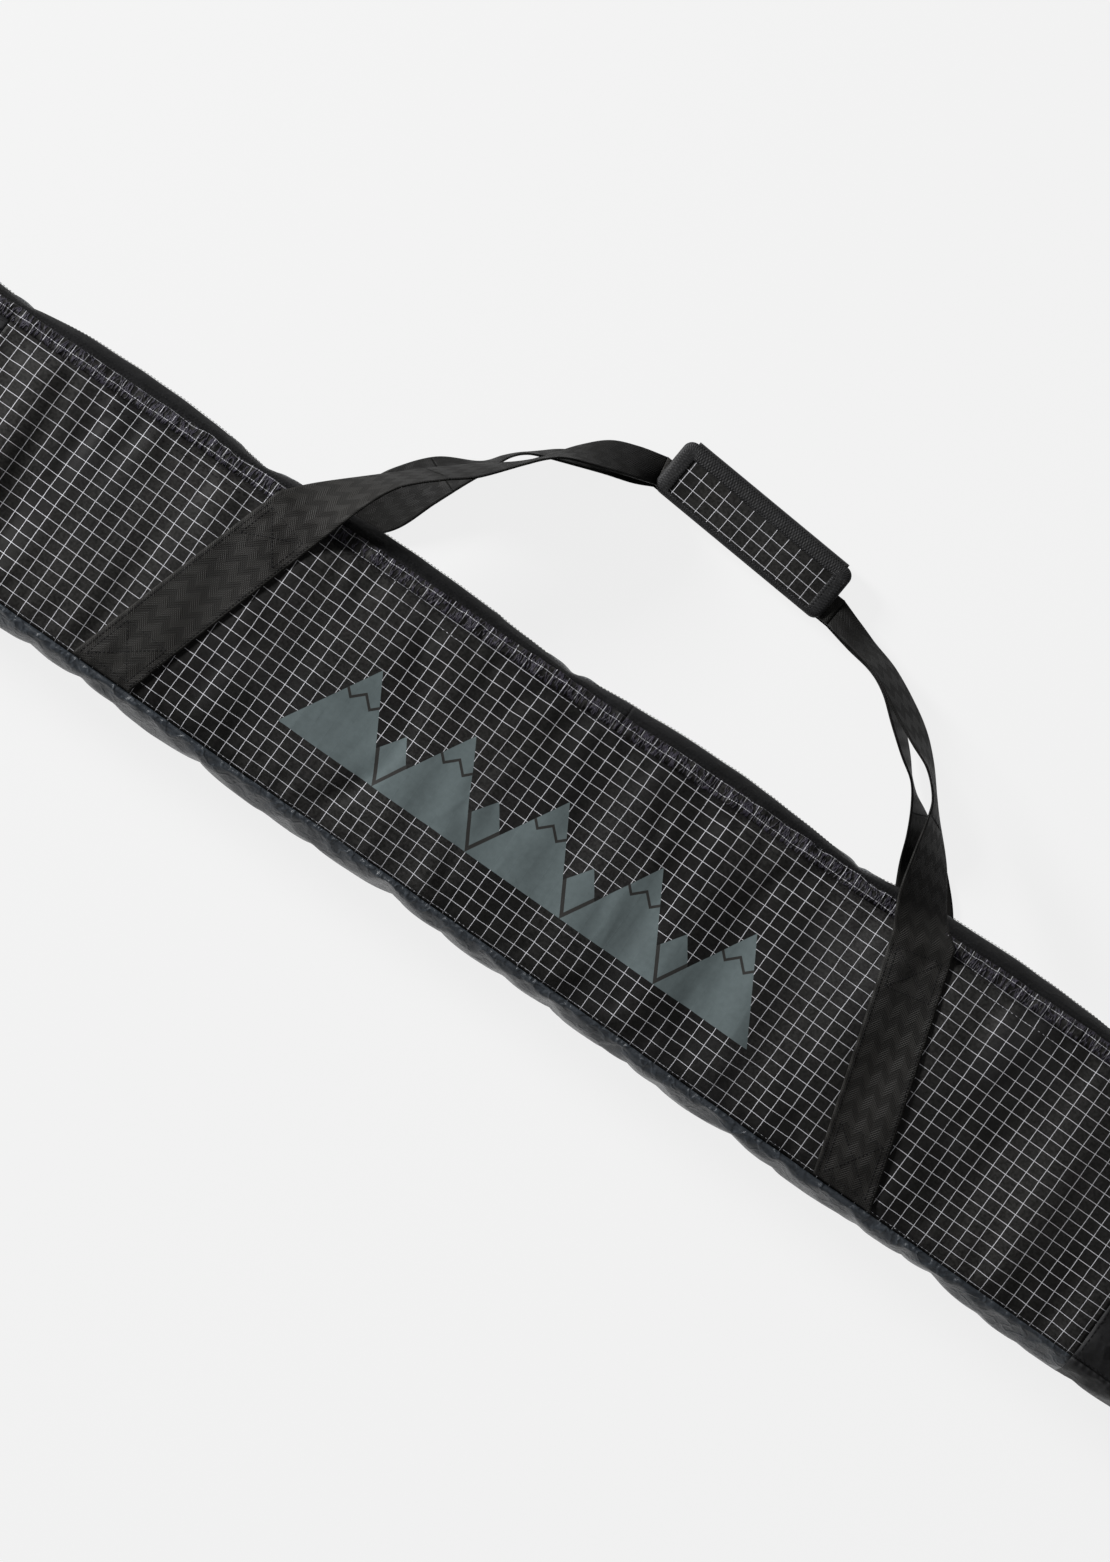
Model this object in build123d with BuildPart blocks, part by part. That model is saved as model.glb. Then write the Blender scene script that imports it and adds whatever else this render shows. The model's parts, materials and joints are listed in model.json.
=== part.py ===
from build123d import *
from math import cos, radians, sin, tan
import os

# A padded bag for one pair of skis, lying on its back panel.
# X runs along the bag towards the tip end, Y towards the handle and the zip, Z out of the front panel.
# The origin is the centre of the back panel, on the surface that the bag lies on.

# Overall sizes
bag_length = 1750.0
bag_height = 218.0  # bottom gusset to zip, at mid length
bag_depth = 86.0  # back panel to front panel
top_edge_rise = 1.1  # degrees: the bag is taller at the tip end
corner_radius = 70.0
end_panel_length = 338.0  # plain cloth at each end of the patterned panel

# How far the front and back panels stand inside the widest outline
front_step_bottom = 12.5
front_step_top = 22.0
front_step_end = 12.5
back_step_bottom = 6.0
back_step_top = 4.0
back_step_end = 6.0

# Cloth, padding and lining
cloth = 1.5
back_sheet = 3.0  # coated cloth on its stiffening sheet
foam = 5.0
gusset_foam = 4.5
lining = 1.0
binding_width = 8.0
binding_thickness = 1.0
layer_gap = 0.2
hinge_foam_gap = 4.0  # foam held back from the seams that the zip lips fold on

# Zip
zip_level = 47.0  # height of the zip's middle
zip_width = 26.0
zip_split = 1.6  # between the two tapes
zip_start = -780.0
zip_end = 790.0
lip_start = -650.0
lip_end = 735.0
lip_gap = 0.5
seam_gap = 0.3
tape_thickness = 0.8
tape_depth = 0.4  # outer face of the tape behind the gusset's face
coil_width = 2.4
coil_thickness = 2.4
stop_length = 4.0
tab_length = 22.0
tab_overlap = 2.0  # over each end of the tapes
tab_thickness = 1.2

# Sliders and their pulls
slider_meeting = -700.0
slider_length = 14.0
slider_width = 12.0
slider_spacing = 1.0
slider_plate = 1.5
slider_clearance = 0.3
flange_width = 1.4
post_width = 1.0
post_length = 3.0
crown_length = 8.0
crown_width = 3.0
crown_height = 3.4
pull_pin_radius = 0.8
pull_pin_clearance = 0.3
pull_length = 42.0
pull_width = 10.0
pull_thickness = 2.0
pull_arm_width = 1.8
pull_arm_gap = 0.4
pull_arm_length = 9.0

# Webbing
webbing_width = 50.0
webbing_thickness = 1.8
handle_centre = -2.5
strap_foot = 332.0  # foot of each strap from the handle's centre
strap_lean = 16.8  # degrees towards the centre
foot_margin = 1.5

# Hand wrap, closed round both loops
wrap_offset = 160.5  # wrap's middle from the zip edge
wrap_tilt = -4.5  # degrees
wrap_length = 160.0
wrap_width = 46.0
wrap_corner = 8.0
wrap_floor = 0.5
wrap_cloth = 1.2
wrap_foam = 3.5
wrap_lining = 0.8
wrap_gap = 0.3
bundle_clearance = 0.8  # between the closure strips and the loops
spine_thickness = 2.5
closure_width = 5.5
closure_length = 148.0
edging = 1.2

# Worked out from the sizes above
front_face = bag_depth
front_under = bag_depth - cloth
grid_half = bag_length / 2 - end_panel_length
wall_low = zip_level - zip_width / 2
wall_high = zip_level + zip_width / 2
reach = 2 * bag_length
top_middle = bag_height / 2
rise = radians(top_edge_rise)
strap_lean_run = tan(radians(strap_lean))
wrap_middle = top_middle + wrap_offset

# Each level of the wall: height, then how far its bottom, top and end edges stand inside
back_level = (back_sheet, back_step_bottom, back_step_top, back_step_end)
low_level = (wall_low, 0.0, 0.0, 0.0)
high_level = (wall_high, 0.0, 0.0, 0.0)
front_level = (front_under, front_step_bottom, front_step_top, front_step_end)
wall_levels = (back_level, low_level, high_level, front_level)
lining_low = back_sheet + foam + lining
lining_high = front_under - foam - lining


def top_edge(x):
    """The widest outline's upper edge at x."""
    return top_middle + x * tan(rise)


def level_at(height):
    """The wall's level at a height, in line between the levels above and below it."""
    for below, above in zip(wall_levels, wall_levels[1:]):
        if below[0] <= height <= above[0]:
            share = (height - below[0]) / (above[0] - below[0])
            return tuple(a + share * (b - a) for a, b in zip(below, above))
    raise ValueError("no wall at this height")


def outline(level, height, inset=0.0, top_inset=0.0):
    """The bag's rounded outline at one level, laid at a height."""
    bottom_step, top_step, end_step = level[1:]
    right = bag_length / 2 - end_step - inset
    low = -bag_height / 2 + bottom_step + inset
    drop = top_step + inset + top_inset
    corners = [
        (-right, low),
        (right, low),
        (right, top_edge(right) - drop),
        (-right, top_edge(-right) - drop),
    ]
    with BuildSketch(Plane.XY.offset(height)) as shape:
        with BuildLine():
            FilletPolyline(*corners, radius=corner_radius - end_step - inset, close=True)
        make_face()
    return shape.sketch


def polygon(plane, points):
    """A flat shape with straight sides on a plane."""
    with BuildSketch(plane) as shape:
        with BuildLine():
            Polyline(*points, close=True)
        make_face()
    return shape.sketch


def rectangle(plane, width, height, middle=(0, 0), corner=0.0):
    """A rectangle on a plane, with rounded corners if a corner radius is given."""
    with BuildSketch(plane) as shape:
        with Locations(middle):
            if corner:
                RectangleRounded(width, height, corner)
            else:
                Rectangle(width, height)
    return shape.sketch


def add_plate(level, low, high, inset=0.0, top_inset=0.0, mode=Mode.ADD):
    """A flat layer in the shape of one level's outline."""
    extrude(outline(level, low, inset, top_inset), amount=high - low, mode=mode)


def add_wall_solid(inset, mode=Mode.ADD):
    """The solid inside the wall, through all its levels."""
    loft([outline(level, level[0], inset) for level in wall_levels], ruled=True, mode=mode)


def add_wall_layer(outer_inset, inner_inset):
    """One layer of the wall, all the way round."""
    add_wall_solid(outer_inset)
    add_wall_solid(inner_inset, Mode.SUBTRACT)


def keep_length(low, high):
    """Cuts the open part back to a stretch of the bag's length."""
    extrude(rectangle(Plane.YZ.offset(low), reach, reach), amount=high - low, mode=Mode.INTERSECT)


def keep_height(low, high):
    """Cuts the open part back to the heights between low and high."""
    extrude(rectangle(Plane.XY.offset(low), reach, reach), amount=high - low, mode=Mode.INTERSECT)


def cut_top_side(x_low, x_high, low, high):
    """Takes away the zip side of the open part between two lengths and two heights."""
    corners = [(x_low, 0), (x_high, 0), (x_high, reach), (x_low, reach)]
    extrude(polygon(Plane.XY.offset(low), corners), amount=high - low, mode=Mode.SUBTRACT)


def zip_section(x):
    """A plane across the zip at x along its edge: sketch X points out of the bag, sketch Y up."""
    along = Vector(cos(rise), sin(rise), 0)
    origin = Vector(0, top_middle, 0) + along * x
    return Plane(origin=origin, x_dir=(-sin(rise), cos(rise), 0), z_dir=along)


def add_zip_bar(x_low, x_high, out_low, out_high, low, high, mode=Mode.ADD):
    """A straight bar along the zip."""
    corners = [(out_low, low), (out_high, low), (out_high, high), (out_low, high)]
    extrude(polygon(zip_section(x_low), corners), amount=x_high - x_low, mode=mode)


def save(piece, label):
    """Names a finished piece and writes it."""
    piece.part.label = label
    export_step(piece.part, f"parts/{label}.step")


os.makedirs("parts", exist_ok=True)

# Front and back panels, with their foam and lining
with BuildPart() as front_panel:
    add_plate(front_level, front_under, front_face)
    keep_length(-grid_half, grid_half)
save(front_panel, "front_panel")

with BuildPart() as tail_end_front:
    add_plate(front_level, front_under, front_face)
    keep_length(-bag_length, -grid_half)
save(tail_end_front, "tail_end_front")

with BuildPart() as tip_end_front:
    add_plate(front_level, front_under, front_face)
    keep_length(grid_half, bag_length)
save(tip_end_front, "tip_end_front")

with BuildPart() as front_foam:
    add_plate(front_level, front_under - foam, front_under, cloth + layer_gap, hinge_foam_gap)
save(front_foam, "front_foam")

with BuildPart() as front_lining:
    add_plate(front_level, lining_high, front_under - foam, cloth + layer_gap, hinge_foam_gap)
save(front_lining, "front_lining")

with BuildPart() as back_foam:
    add_plate(back_level, back_sheet, back_sheet + foam, cloth + layer_gap, hinge_foam_gap)
save(back_foam, "back_foam")

with BuildPart() as back_lining:
    add_plate(back_level, back_sheet + foam, lining_low, cloth + layer_gap, hinge_foam_gap)
save(back_lining, "back_lining")


def strap_head(side, foot_y, edge_step):
    """Where the middle of a leaning strap crosses the panel's upper edge, which slopes with the bag."""
    foot_x = handle_centre + side * strap_foot
    level_x = foot_x - side * strap_lean_run * (top_middle - edge_step - foot_y)
    x = level_x / (1 + side * strap_lean_run * tan(rise))
    return x, top_edge(x) - edge_step


def add_strap(side, foot_y, head, low, extra=0.0, mode=Mode.ADD):
    """A flat length of webbing on a panel: cut level at its foot and square across at its head."""
    half = webbing_width / 2
    lean = radians(strap_lean)
    run = Vector(-side * sin(lean), cos(lean))
    across = Vector(cos(lean), side * sin(lean))
    end = Vector(*head) + run * extra
    foot_x = handle_centre + side * strap_foot
    corners = [(foot_x - half / cos(lean), foot_y), (foot_x + half / cos(lean), foot_y)]
    corners += [tuple(end + across * half)[:2], tuple(end - across * half)[:2]]
    extrude(polygon(Plane.XY.offset(low), corners), amount=webbing_thickness, mode=mode)


front_foot = -bag_height / 2 + front_step_bottom + foot_margin
back_foot = -bag_height / 2 + back_step_bottom + foot_margin

# Sewn ends of the two carrying loops; the back pair lie in the back panel, flush with it
with BuildPart() as back_panel:
    add_plate(back_level, 0, back_sheet)
    for side in (-1, 1):
        head = strap_head(side, back_foot, back_step_top)
        add_strap(side, back_foot, head, 0, webbing_width, Mode.SUBTRACT)
save(back_panel, "back_panel")

for side, end in ((-1, "tail"), (1, "tip")):
    with BuildPart() as front_strap:
        add_strap(side, front_foot, strap_head(side, front_foot, front_step_top), front_face)
    save(front_strap, f"front_strap_{end}")
    with BuildPart() as back_strap:
        add_strap(side, back_foot, strap_head(side, back_foot, back_step_top), 0)
    save(back_strap, f"back_strap_{end}")

# Bottom gusset and the two end gussets, with their foam and lining
with BuildPart() as bottom_gusset:
    add_wall_layer(0, cloth)
    keep_length(-grid_half, grid_half)
    cut_top_side(-reach, reach, 0, bag_depth)
save(bottom_gusset, "bottom_gusset")

with BuildPart() as tail_end_gusset:
    add_wall_layer(0, cloth)
    keep_length(-bag_length, -grid_half)
    cut_top_side(lip_start, reach, 0, bag_depth)
    cut_top_side(zip_start, reach, wall_low, wall_high)
save(tail_end_gusset, "tail_end_gusset")

with BuildPart() as tip_end_gusset:
    add_wall_layer(0, cloth)
    keep_length(grid_half, bag_length)
    cut_top_side(-reach, lip_end, 0, bag_depth)
    cut_top_side(-reach, zip_end, wall_low, wall_high)
save(tip_end_gusset, "tip_end_gusset")

zip_margin = stop_length + slider_length

for layer, outer_inset, inner_inset in (
    ("foam", cloth + layer_gap, cloth + gusset_foam),
    ("lining", cloth + gusset_foam, cloth + gusset_foam + lining),
):
    with BuildPart() as bottom_layer:
        add_wall_layer(outer_inset, inner_inset)
        keep_length(-grid_half, grid_half)
        keep_height(lining_low, lining_high)
        cut_top_side(-reach, reach, 0, bag_depth)
    save(bottom_layer, f"bottom_{layer}")
    with BuildPart() as tail_layer:
        add_wall_layer(outer_inset, inner_inset)
        keep_length(-bag_length, -grid_half)
        keep_height(lining_low, lining_high)
        cut_top_side(zip_start - zip_margin, reach, 0, bag_depth)
    save(tail_layer, f"tail_end_{layer}")
    with BuildPart() as tip_layer:
        add_wall_layer(outer_inset, inner_inset)
        keep_length(grid_half, bag_length)
        keep_height(lining_low, lining_high)
        cut_top_side(-reach, zip_end + zip_margin, 0, bag_depth)
    save(tip_layer, f"tip_end_{layer}")

# Tape sewn over the raw seams inside
wall_build = cloth + gusset_foam + lining + layer_gap
for label, low in (
    ("front_seam_binding", lining_high - binding_thickness),
    ("back_seam_binding", lining_low),
):
    seam_level = front_level if label.startswith("front") else back_level
    with BuildPart() as seam_binding:
        add_plate(seam_level, low, low + binding_thickness, wall_build)
        add_plate(seam_level, low, low + binding_thickness, wall_build + binding_width, 0, Mode.SUBTRACT)
    save(seam_binding, label)


# Zip lips: the strips of gusset, tape and coil that fold back when the zip is open
def add_lip_strip(points, x_low, x_high):
    """A strip of gusset cloth along the zip; its points are its outer face, seam first."""
    inner = [(out - cloth, height) for out, height in reversed(points)]
    extrude(polygon(zip_section(x_low), points + inner), amount=x_high - x_low)


lip_low = lip_start + lip_gap
lip_high = lip_end - lip_gap
tape_out = -tape_depth
tape_in = tape_out - tape_thickness
coil_in = tape_in - coil_thickness

with BuildPart() as top_gusset_front:
    add_lip_strip([(-front_step_top, front_under - seam_gap), (0, wall_high)], lip_low, lip_high)
save(top_gusset_front, "top_gusset_front")

with BuildPart() as top_gusset_back:
    add_lip_strip([(-back_step_top, back_sheet + seam_gap), (0, wall_low)], lip_low, lip_high)
save(top_gusset_back, "top_gusset_back")


def tape_heights(half):
    """Lowest and highest edge of one half of the zip."""
    if half == "back":
        return wall_low, zip_level - zip_split / 2
    return zip_level + zip_split / 2, wall_high


def coil_heights(half):
    """Lowest and highest edge of one half's coil, beside the split."""
    if half == "back":
        return zip_level - zip_split / 2 - coil_width, zip_level - zip_split / 2
    return zip_level + zip_split / 2, zip_level + zip_split / 2 + coil_width


for half in ("front", "back"):
    with BuildPart() as lip_tape:
        add_zip_bar(lip_low, lip_high, tape_in, tape_out, *tape_heights(half))
    save(lip_tape, f"zip_tape_{half}")
    with BuildPart() as lip_coil:
        add_zip_bar(lip_low, lip_high, coil_in, tape_in, *coil_heights(half))
    save(lip_coil, f"zip_coil_{half}")

for end, x_low, x_high in (("tail", zip_start, lip_start), ("tip", lip_end, zip_end)):
    with BuildPart() as end_tape:
        for half in ("front", "back"):
            add_zip_bar(x_low, x_high, tape_in, tape_out, *tape_heights(half))
    save(end_tape, f"zip_tape_{end}")
    with BuildPart() as end_coil:
        for half in ("front", "back"):
            add_zip_bar(x_low, x_high, coil_in, tape_in, *coil_heights(half))
    save(end_coil, f"zip_coil_{end}")

with BuildPart() as zip_stops:
    for x_low in (zip_start, zip_end - stop_length):
        add_zip_bar(x_low, x_low + stop_length, coil_in - slider_plate, coil_in, wall_low + binding_width,
                    wall_high - binding_width)
save(zip_stops, "zip_stops")

for end, x_low in (("tail", zip_start + tab_overlap - tab_length), ("tip", zip_end - tab_overlap)):
    with BuildPart() as zip_tab:
        add_zip_bar(x_low, x_low + tab_length, 0, tab_thickness, wall_low, wall_high)
    save(zip_tab, f"zip_tab_{end}")


# Sliders: an outer and an inner plate joined by a post that runs in the split
outer_low = tape_out + slider_clearance
outer_high = outer_low + slider_plate
inner_high = coil_in - slider_clearance
inner_low = inner_high - slider_plate
flange_top = tape_in - slider_clearance
slider_low = zip_level - slider_width / 2
slider_high = zip_level + slider_width / 2
pin_out = outer_high + crown_height / 2


def add_pull_pin(x, radius, half_length, mode=Mode.ADD):
    """A round bar across the crown, at x along the zip."""
    section = zip_section(x)
    across = Plane(origin=section.from_local_coords((pin_out, zip_level - half_length)), z_dir=(0, 0, 1))
    with BuildSketch(across) as round_bar:
        Circle(radius)
    extrude(round_bar.sketch, amount=2 * half_length, mode=mode)


def add_slider(middle, nose):
    """A zip slider whose post is at its nose, the end that meets the other slider."""
    x_low = middle - slider_length / 2
    x_high = middle + slider_length / 2
    add_zip_bar(x_low, x_high, outer_low, outer_high, slider_low, slider_high)
    add_zip_bar(x_low, x_high, inner_low, inner_high, slider_low, slider_high)
    for edge in (slider_low, slider_high - flange_width):
        add_zip_bar(x_low, x_high, inner_high, flange_top, edge, edge + flange_width)
    post_low = min(middle + nose * slider_length / 2, middle + nose * (slider_length / 2 - post_length))
    add_zip_bar(post_low, post_low + post_length, inner_high, outer_low, zip_level - post_width / 2,
                zip_level + post_width / 2)
    add_zip_bar(middle - crown_length / 2, middle + crown_length / 2, outer_high, outer_high + crown_height,
                zip_level - crown_width / 2, zip_level + crown_width / 2)
    add_pull_pin(middle, pull_pin_radius + pull_pin_clearance, crown_width, Mode.SUBTRACT)


def add_pull(middle, way):
    """A pull tab: a pin through the crown, two arms and the tab, lying along the zip."""
    arm_inner = crown_width / 2 + pull_arm_gap
    arm_outer = arm_inner + pull_arm_width
    add_pull_pin(middle, pull_pin_radius, arm_outer)
    out_low = pin_out - pull_thickness / 2
    out_high = pin_out + pull_thickness / 2
    arm_end = middle + way * pull_arm_length
    tab_end = middle + way * pull_length
    for low in (zip_level - arm_outer, zip_level + arm_inner):
        add_zip_bar(min(middle, arm_end), max(middle, arm_end), out_low, out_high, low,
                    low + pull_arm_width)
    add_zip_bar(min(arm_end, tab_end), max(arm_end, tab_end), out_low, out_high,
                zip_level - pull_width / 2, zip_level + pull_width / 2)


for label, way in (("a", -1), ("b", 1)):
    slider_middle = slider_meeting + way * (slider_length + slider_spacing) / 2
    with BuildPart() as slider:
        add_slider(slider_middle, -way)
    save(slider, f"slider_{label}")
    with BuildPart() as pull:
        add_pull(slider_middle, way)
    save(pull, f"pull_{label}")

# Carrying loops. The stations of one leg run from its strap's head to the wrap: distance in from the
# strap's head, distance out from the zip edge, height, width, thickness and roll in degrees.
folded_width = webbing_width / 2
folded_thickness = 2 * webbing_thickness
back_bundle = wrap_floor + wrap_cloth + wrap_foam + wrap_lining + wrap_gap + folded_thickness / 2
front_bundle = back_bundle + folded_thickness + wrap_gap
front_rest = front_face + webbing_thickness / 2
back_rest = webbing_thickness / 2
half_wrap = wrap_length / 2
closure_middle = -wrap_width / 2 + edging + closure_width / 2
bundle_shift = closure_middle + (closure_width + folded_width) / 2 + bundle_clearance

front_leg = (
    (9, 6, front_rest, webbing_width, webbing_thickness, 0),
    (30, 24, front_rest - 5, webbing_width, webbing_thickness, 8),
    (63, 58, front_rest - 25, webbing_width, webbing_thickness, 25),
    (92, 86, front_rest - 42, webbing_width, webbing_thickness, 30),
    (126, 118, front_rest - 60, 42.0, webbing_thickness + 0.4, 20),
)
back_leg = (
    (5.5, 14, back_rest, webbing_width, webbing_thickness, 0),
    (26, 36, back_rest + 1.6, webbing_width, webbing_thickness, 0),
    (46, 60, back_rest + 3.0, webbing_width, webbing_thickness, 0),
    (75, 90, back_rest + 4.6, webbing_width, webbing_thickness, 0),
    (110, 122, back_rest + 6.0, 42.0, webbing_thickness + 0.4, 0),
)
root_stations = 4  # the strap's head and the first three stations bend; the rest lift with the handle


def wrap_point(along, across, height):
    """A point in the wrap's own directions."""
    turn = radians(wrap_tilt)
    x = handle_centre + along * cos(turn) - across * sin(turn)
    y = wrap_middle + along * sin(turn) + across * cos(turn)
    return Vector(x, y, height)


def leg_stations(side, head, head_height, leg, bundle_height):
    """Centres, widths, thicknesses and rolls of one leg, from its strap's head to the wrap's middle."""
    head_x, head_y = head
    stations = [(Vector(head_x, head_y, head_height), webbing_width, webbing_thickness, 0.0)]
    for inward, outward, height, width, thickness, roll in leg:
        x = head_x - side * inward
        stations.append((Vector(x, top_edge(x) + outward, height), width, thickness, side * roll))
    for share in (1.08, 0.5):
        centre = wrap_point(side * share * half_wrap, bundle_shift, bundle_height)
        stations.append((centre, folded_width, folded_thickness, 0.0))
    return stations


def station_planes(stations, side):
    """A plane across the webbing at each station, rolled about the way it runs."""
    centres = [station[0] for station in stations]
    planes = []
    for index, (centre, width, thickness, roll) in enumerate(stations):
        before = centres[max(index - 1, 0)]
        after = centres[min(index + 1, len(centres) - 1)]
        run = (after - before).normalized()
        if index == 0:
            run = Vector(-side * sin(radians(strap_lean)), cos(radians(strap_lean)), 0)
        level_across = run.cross(Vector(0, 0, 1)).normalized()
        across = level_across.rotate(Axis((0, 0, 0), run), roll)
        planes.append((Plane(origin=centre, x_dir=across, z_dir=run), width, thickness))
    return planes


def add_ribbon(planes):
    """Webbing through a row of planes."""
    loft([rectangle(plane, width, thickness) for plane, width, thickness in planes], ruled=True)


def turned_back(planes):
    """The same planes in the other order, facing the other way."""
    return [(Plane(p.origin, x_dir=-p.x_dir, z_dir=-p.z_dir), w, t) for p, w, t in reversed(planes)]


for layer, foot_y, step, rest, leg, bundle in (
    ("front", front_foot, front_step_top, front_rest, front_leg, front_bundle),
    ("back", back_foot, back_step_top, back_rest, back_leg, back_bundle),
):
    legs = {}
    for side, end in ((-1, "tail"), (1, "tip")):
        head = strap_head(side, foot_y, step)
        legs[end] = station_planes(leg_stations(side, head, rest, leg, bundle), side)
        with BuildPart() as strap_root:
            add_ribbon(legs[end][:root_stations])
        save(strap_root, f"{layer}_root_{end}")
    with BuildPart() as handle_webbing:
        add_ribbon(legs["tail"][root_stations - 1 :] + turned_back(legs["tip"][root_stations - 1 :]))
    save(handle_webbing, f"{layer}_handle_webbing")

# Hand wrap: a back half under the loops and a flap over them, joined by a soft spine at the far side
back_wrap_top = back_bundle - folded_thickness / 2 - wrap_gap
flap_under = front_bundle + folded_thickness / 2 + wrap_gap
wrap_top = flap_under + wrap_lining + wrap_foam + wrap_cloth
closure_split = (back_wrap_top + flap_under) / 2


def wrap_plane(height):
    """The wrap's own plane at a height."""
    turn = radians(wrap_tilt)
    return Plane(origin=wrap_point(0, 0, height), x_dir=(cos(turn), sin(turn), 0), z_dir=(0, 0, 1))


def add_wrap_layer(low, high, inset, mode=Mode.ADD):
    """A layer of the wrap with rounded corners."""
    length = wrap_length - 2 * inset
    shape = rectangle(wrap_plane(low), length, wrap_width - 2 * inset, (0, 0), wrap_corner - inset)
    extrude(shape, amount=high - low, mode=mode)


def add_closure(low, high):
    """A strip of hook or loop along the open edge."""
    extrude(rectangle(wrap_plane(low), closure_length, closure_width, (0, closure_middle)), amount=high - low)


wrap_halves = (
    ("back", wrap_floor, 1, back_wrap_top),
    ("flap", wrap_top, -1, flap_under),
)
for half, face, inward, under in wrap_halves:
    shell_end = face + inward * wrap_cloth
    foam_end = shell_end + inward * wrap_foam
    for layer, start, finish in (("shell", face, shell_end), ("foam", shell_end, foam_end),
                                 ("lining", foam_end, under)):
        with BuildPart() as wrap_layer:
            add_wrap_layer(min(start, finish), max(start, finish), edging)
        save(wrap_layer, f"wrap_{half}_{layer}")
    with BuildPart() as wrap_binding:
        add_wrap_layer(min(face, under), max(face, under), 0)
        add_wrap_layer(min(face, under), max(face, under), edging, Mode.SUBTRACT)
    save(wrap_binding, f"wrap_{half}_binding")

with BuildPart() as hook_tape:
    add_closure(back_wrap_top, closure_split - wrap_gap / 2)
save(hook_tape, "hook_tape")

with BuildPart() as loop_tape:
    add_closure(closure_split + wrap_gap / 2, flap_under)
save(loop_tape, "loop_tape")

with BuildPart() as wrap_spine:
    spine_middle = wrap_width / 2 + spine_thickness / 2
    spine_length = wrap_length - 2 * wrap_corner
    spine = rectangle(wrap_plane(wrap_floor), spine_length, spine_thickness, (0, spine_middle))
    extrude(spine, amount=wrap_top - wrap_floor)
save(wrap_spine, "wrap_spine")
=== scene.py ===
import json
import math

import bpy
import numpy as np
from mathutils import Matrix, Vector, noise
from mathutils.bvhtree import BVHTree


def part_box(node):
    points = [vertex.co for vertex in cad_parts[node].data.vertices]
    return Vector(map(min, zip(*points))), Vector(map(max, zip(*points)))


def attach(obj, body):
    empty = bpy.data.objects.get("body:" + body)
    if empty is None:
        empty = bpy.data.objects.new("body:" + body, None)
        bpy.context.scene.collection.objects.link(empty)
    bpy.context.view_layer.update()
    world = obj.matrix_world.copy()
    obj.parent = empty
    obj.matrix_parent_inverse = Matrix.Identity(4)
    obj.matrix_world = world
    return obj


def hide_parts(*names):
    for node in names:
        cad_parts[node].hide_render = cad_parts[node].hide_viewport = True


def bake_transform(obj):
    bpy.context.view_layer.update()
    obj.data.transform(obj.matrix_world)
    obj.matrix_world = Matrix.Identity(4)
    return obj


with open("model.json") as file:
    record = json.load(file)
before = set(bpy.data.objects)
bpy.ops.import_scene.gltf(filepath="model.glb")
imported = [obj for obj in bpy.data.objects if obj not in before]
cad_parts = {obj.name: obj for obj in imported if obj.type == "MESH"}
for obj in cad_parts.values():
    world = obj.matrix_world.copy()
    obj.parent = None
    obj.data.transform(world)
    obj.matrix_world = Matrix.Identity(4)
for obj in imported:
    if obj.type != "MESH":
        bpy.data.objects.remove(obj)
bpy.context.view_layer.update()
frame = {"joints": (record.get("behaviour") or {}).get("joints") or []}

bl_info = {
    "name": "Padded Ski Bag",
    "version": (1, 0, 0),
    "blender": (4, 5, 0),
    "location": "View3D > Sidebar > Ski Bag",
    "description": "Makes the cloth, webbing and zip of a padded ski bag round its frame",
    "category": "Object",
}

MM = 0.001
UV_NAME = "cloth"
joints = {joint["name"]: joint for joint in frame["joints"]}
bags_made = {}  # the shell and its surface, kept for the operators that build on them


def node_low(node):
    """Lowest corner of one of the frame's nodes."""
    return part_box(node)[0]


def node_high(node):
    """Highest corner of one of the frame's nodes."""
    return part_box(node)[1]


# Places that every piece shares, from the frame
zip_way = Vector(joints["slider_b_slide"]["axis"]).normalized()
zip_out = Vector((-zip_way.y, zip_way.x, 0.0))
edge_slope = zip_way.y / zip_way.x
edge_middle = joints["handle_lift"]["pos_m"][1]
bottom_y = node_low("bottom_gusset").y
half_length = node_high("tip_end_gusset").x
grid_half = node_high("front_panel").x
front_seam_z = node_low("front_panel").z
front_z = node_high("front_panel").z
back_seam_z = node_high("back_panel").z
front_step_end = half_length - node_high("tip_end_front").x
front_step_bottom = node_low("front_panel").y - bottom_y
back_step_end = half_length - node_high("back_panel").x
back_step_bottom = node_low("back_panel").y - bottom_y
zip_low_z = node_low("zip_tape_back").z
zip_high_z = node_high("zip_tape_front").z
zip_z = (zip_low_z + zip_high_z) / 2
zip_tail_x = node_low("zip_tape_tail").x
zip_tip_x = node_high("zip_tape_tip").x
front_hinge = Vector(joints["front_lip_fold"]["pos_m"])
back_hinge = Vector(joints["back_lip_fold"]["pos_m"])
front_step_top = (Vector((0, edge_middle, 0)) - front_hinge).dot(zip_out)
back_step_top = (Vector((0, edge_middle, 0)) - back_hinge).dot(zip_out)
corner_radius = 70 * MM


def edge_y(x):
    """The widest outline's zip edge at x."""
    return edge_middle + edge_slope * x


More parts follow.
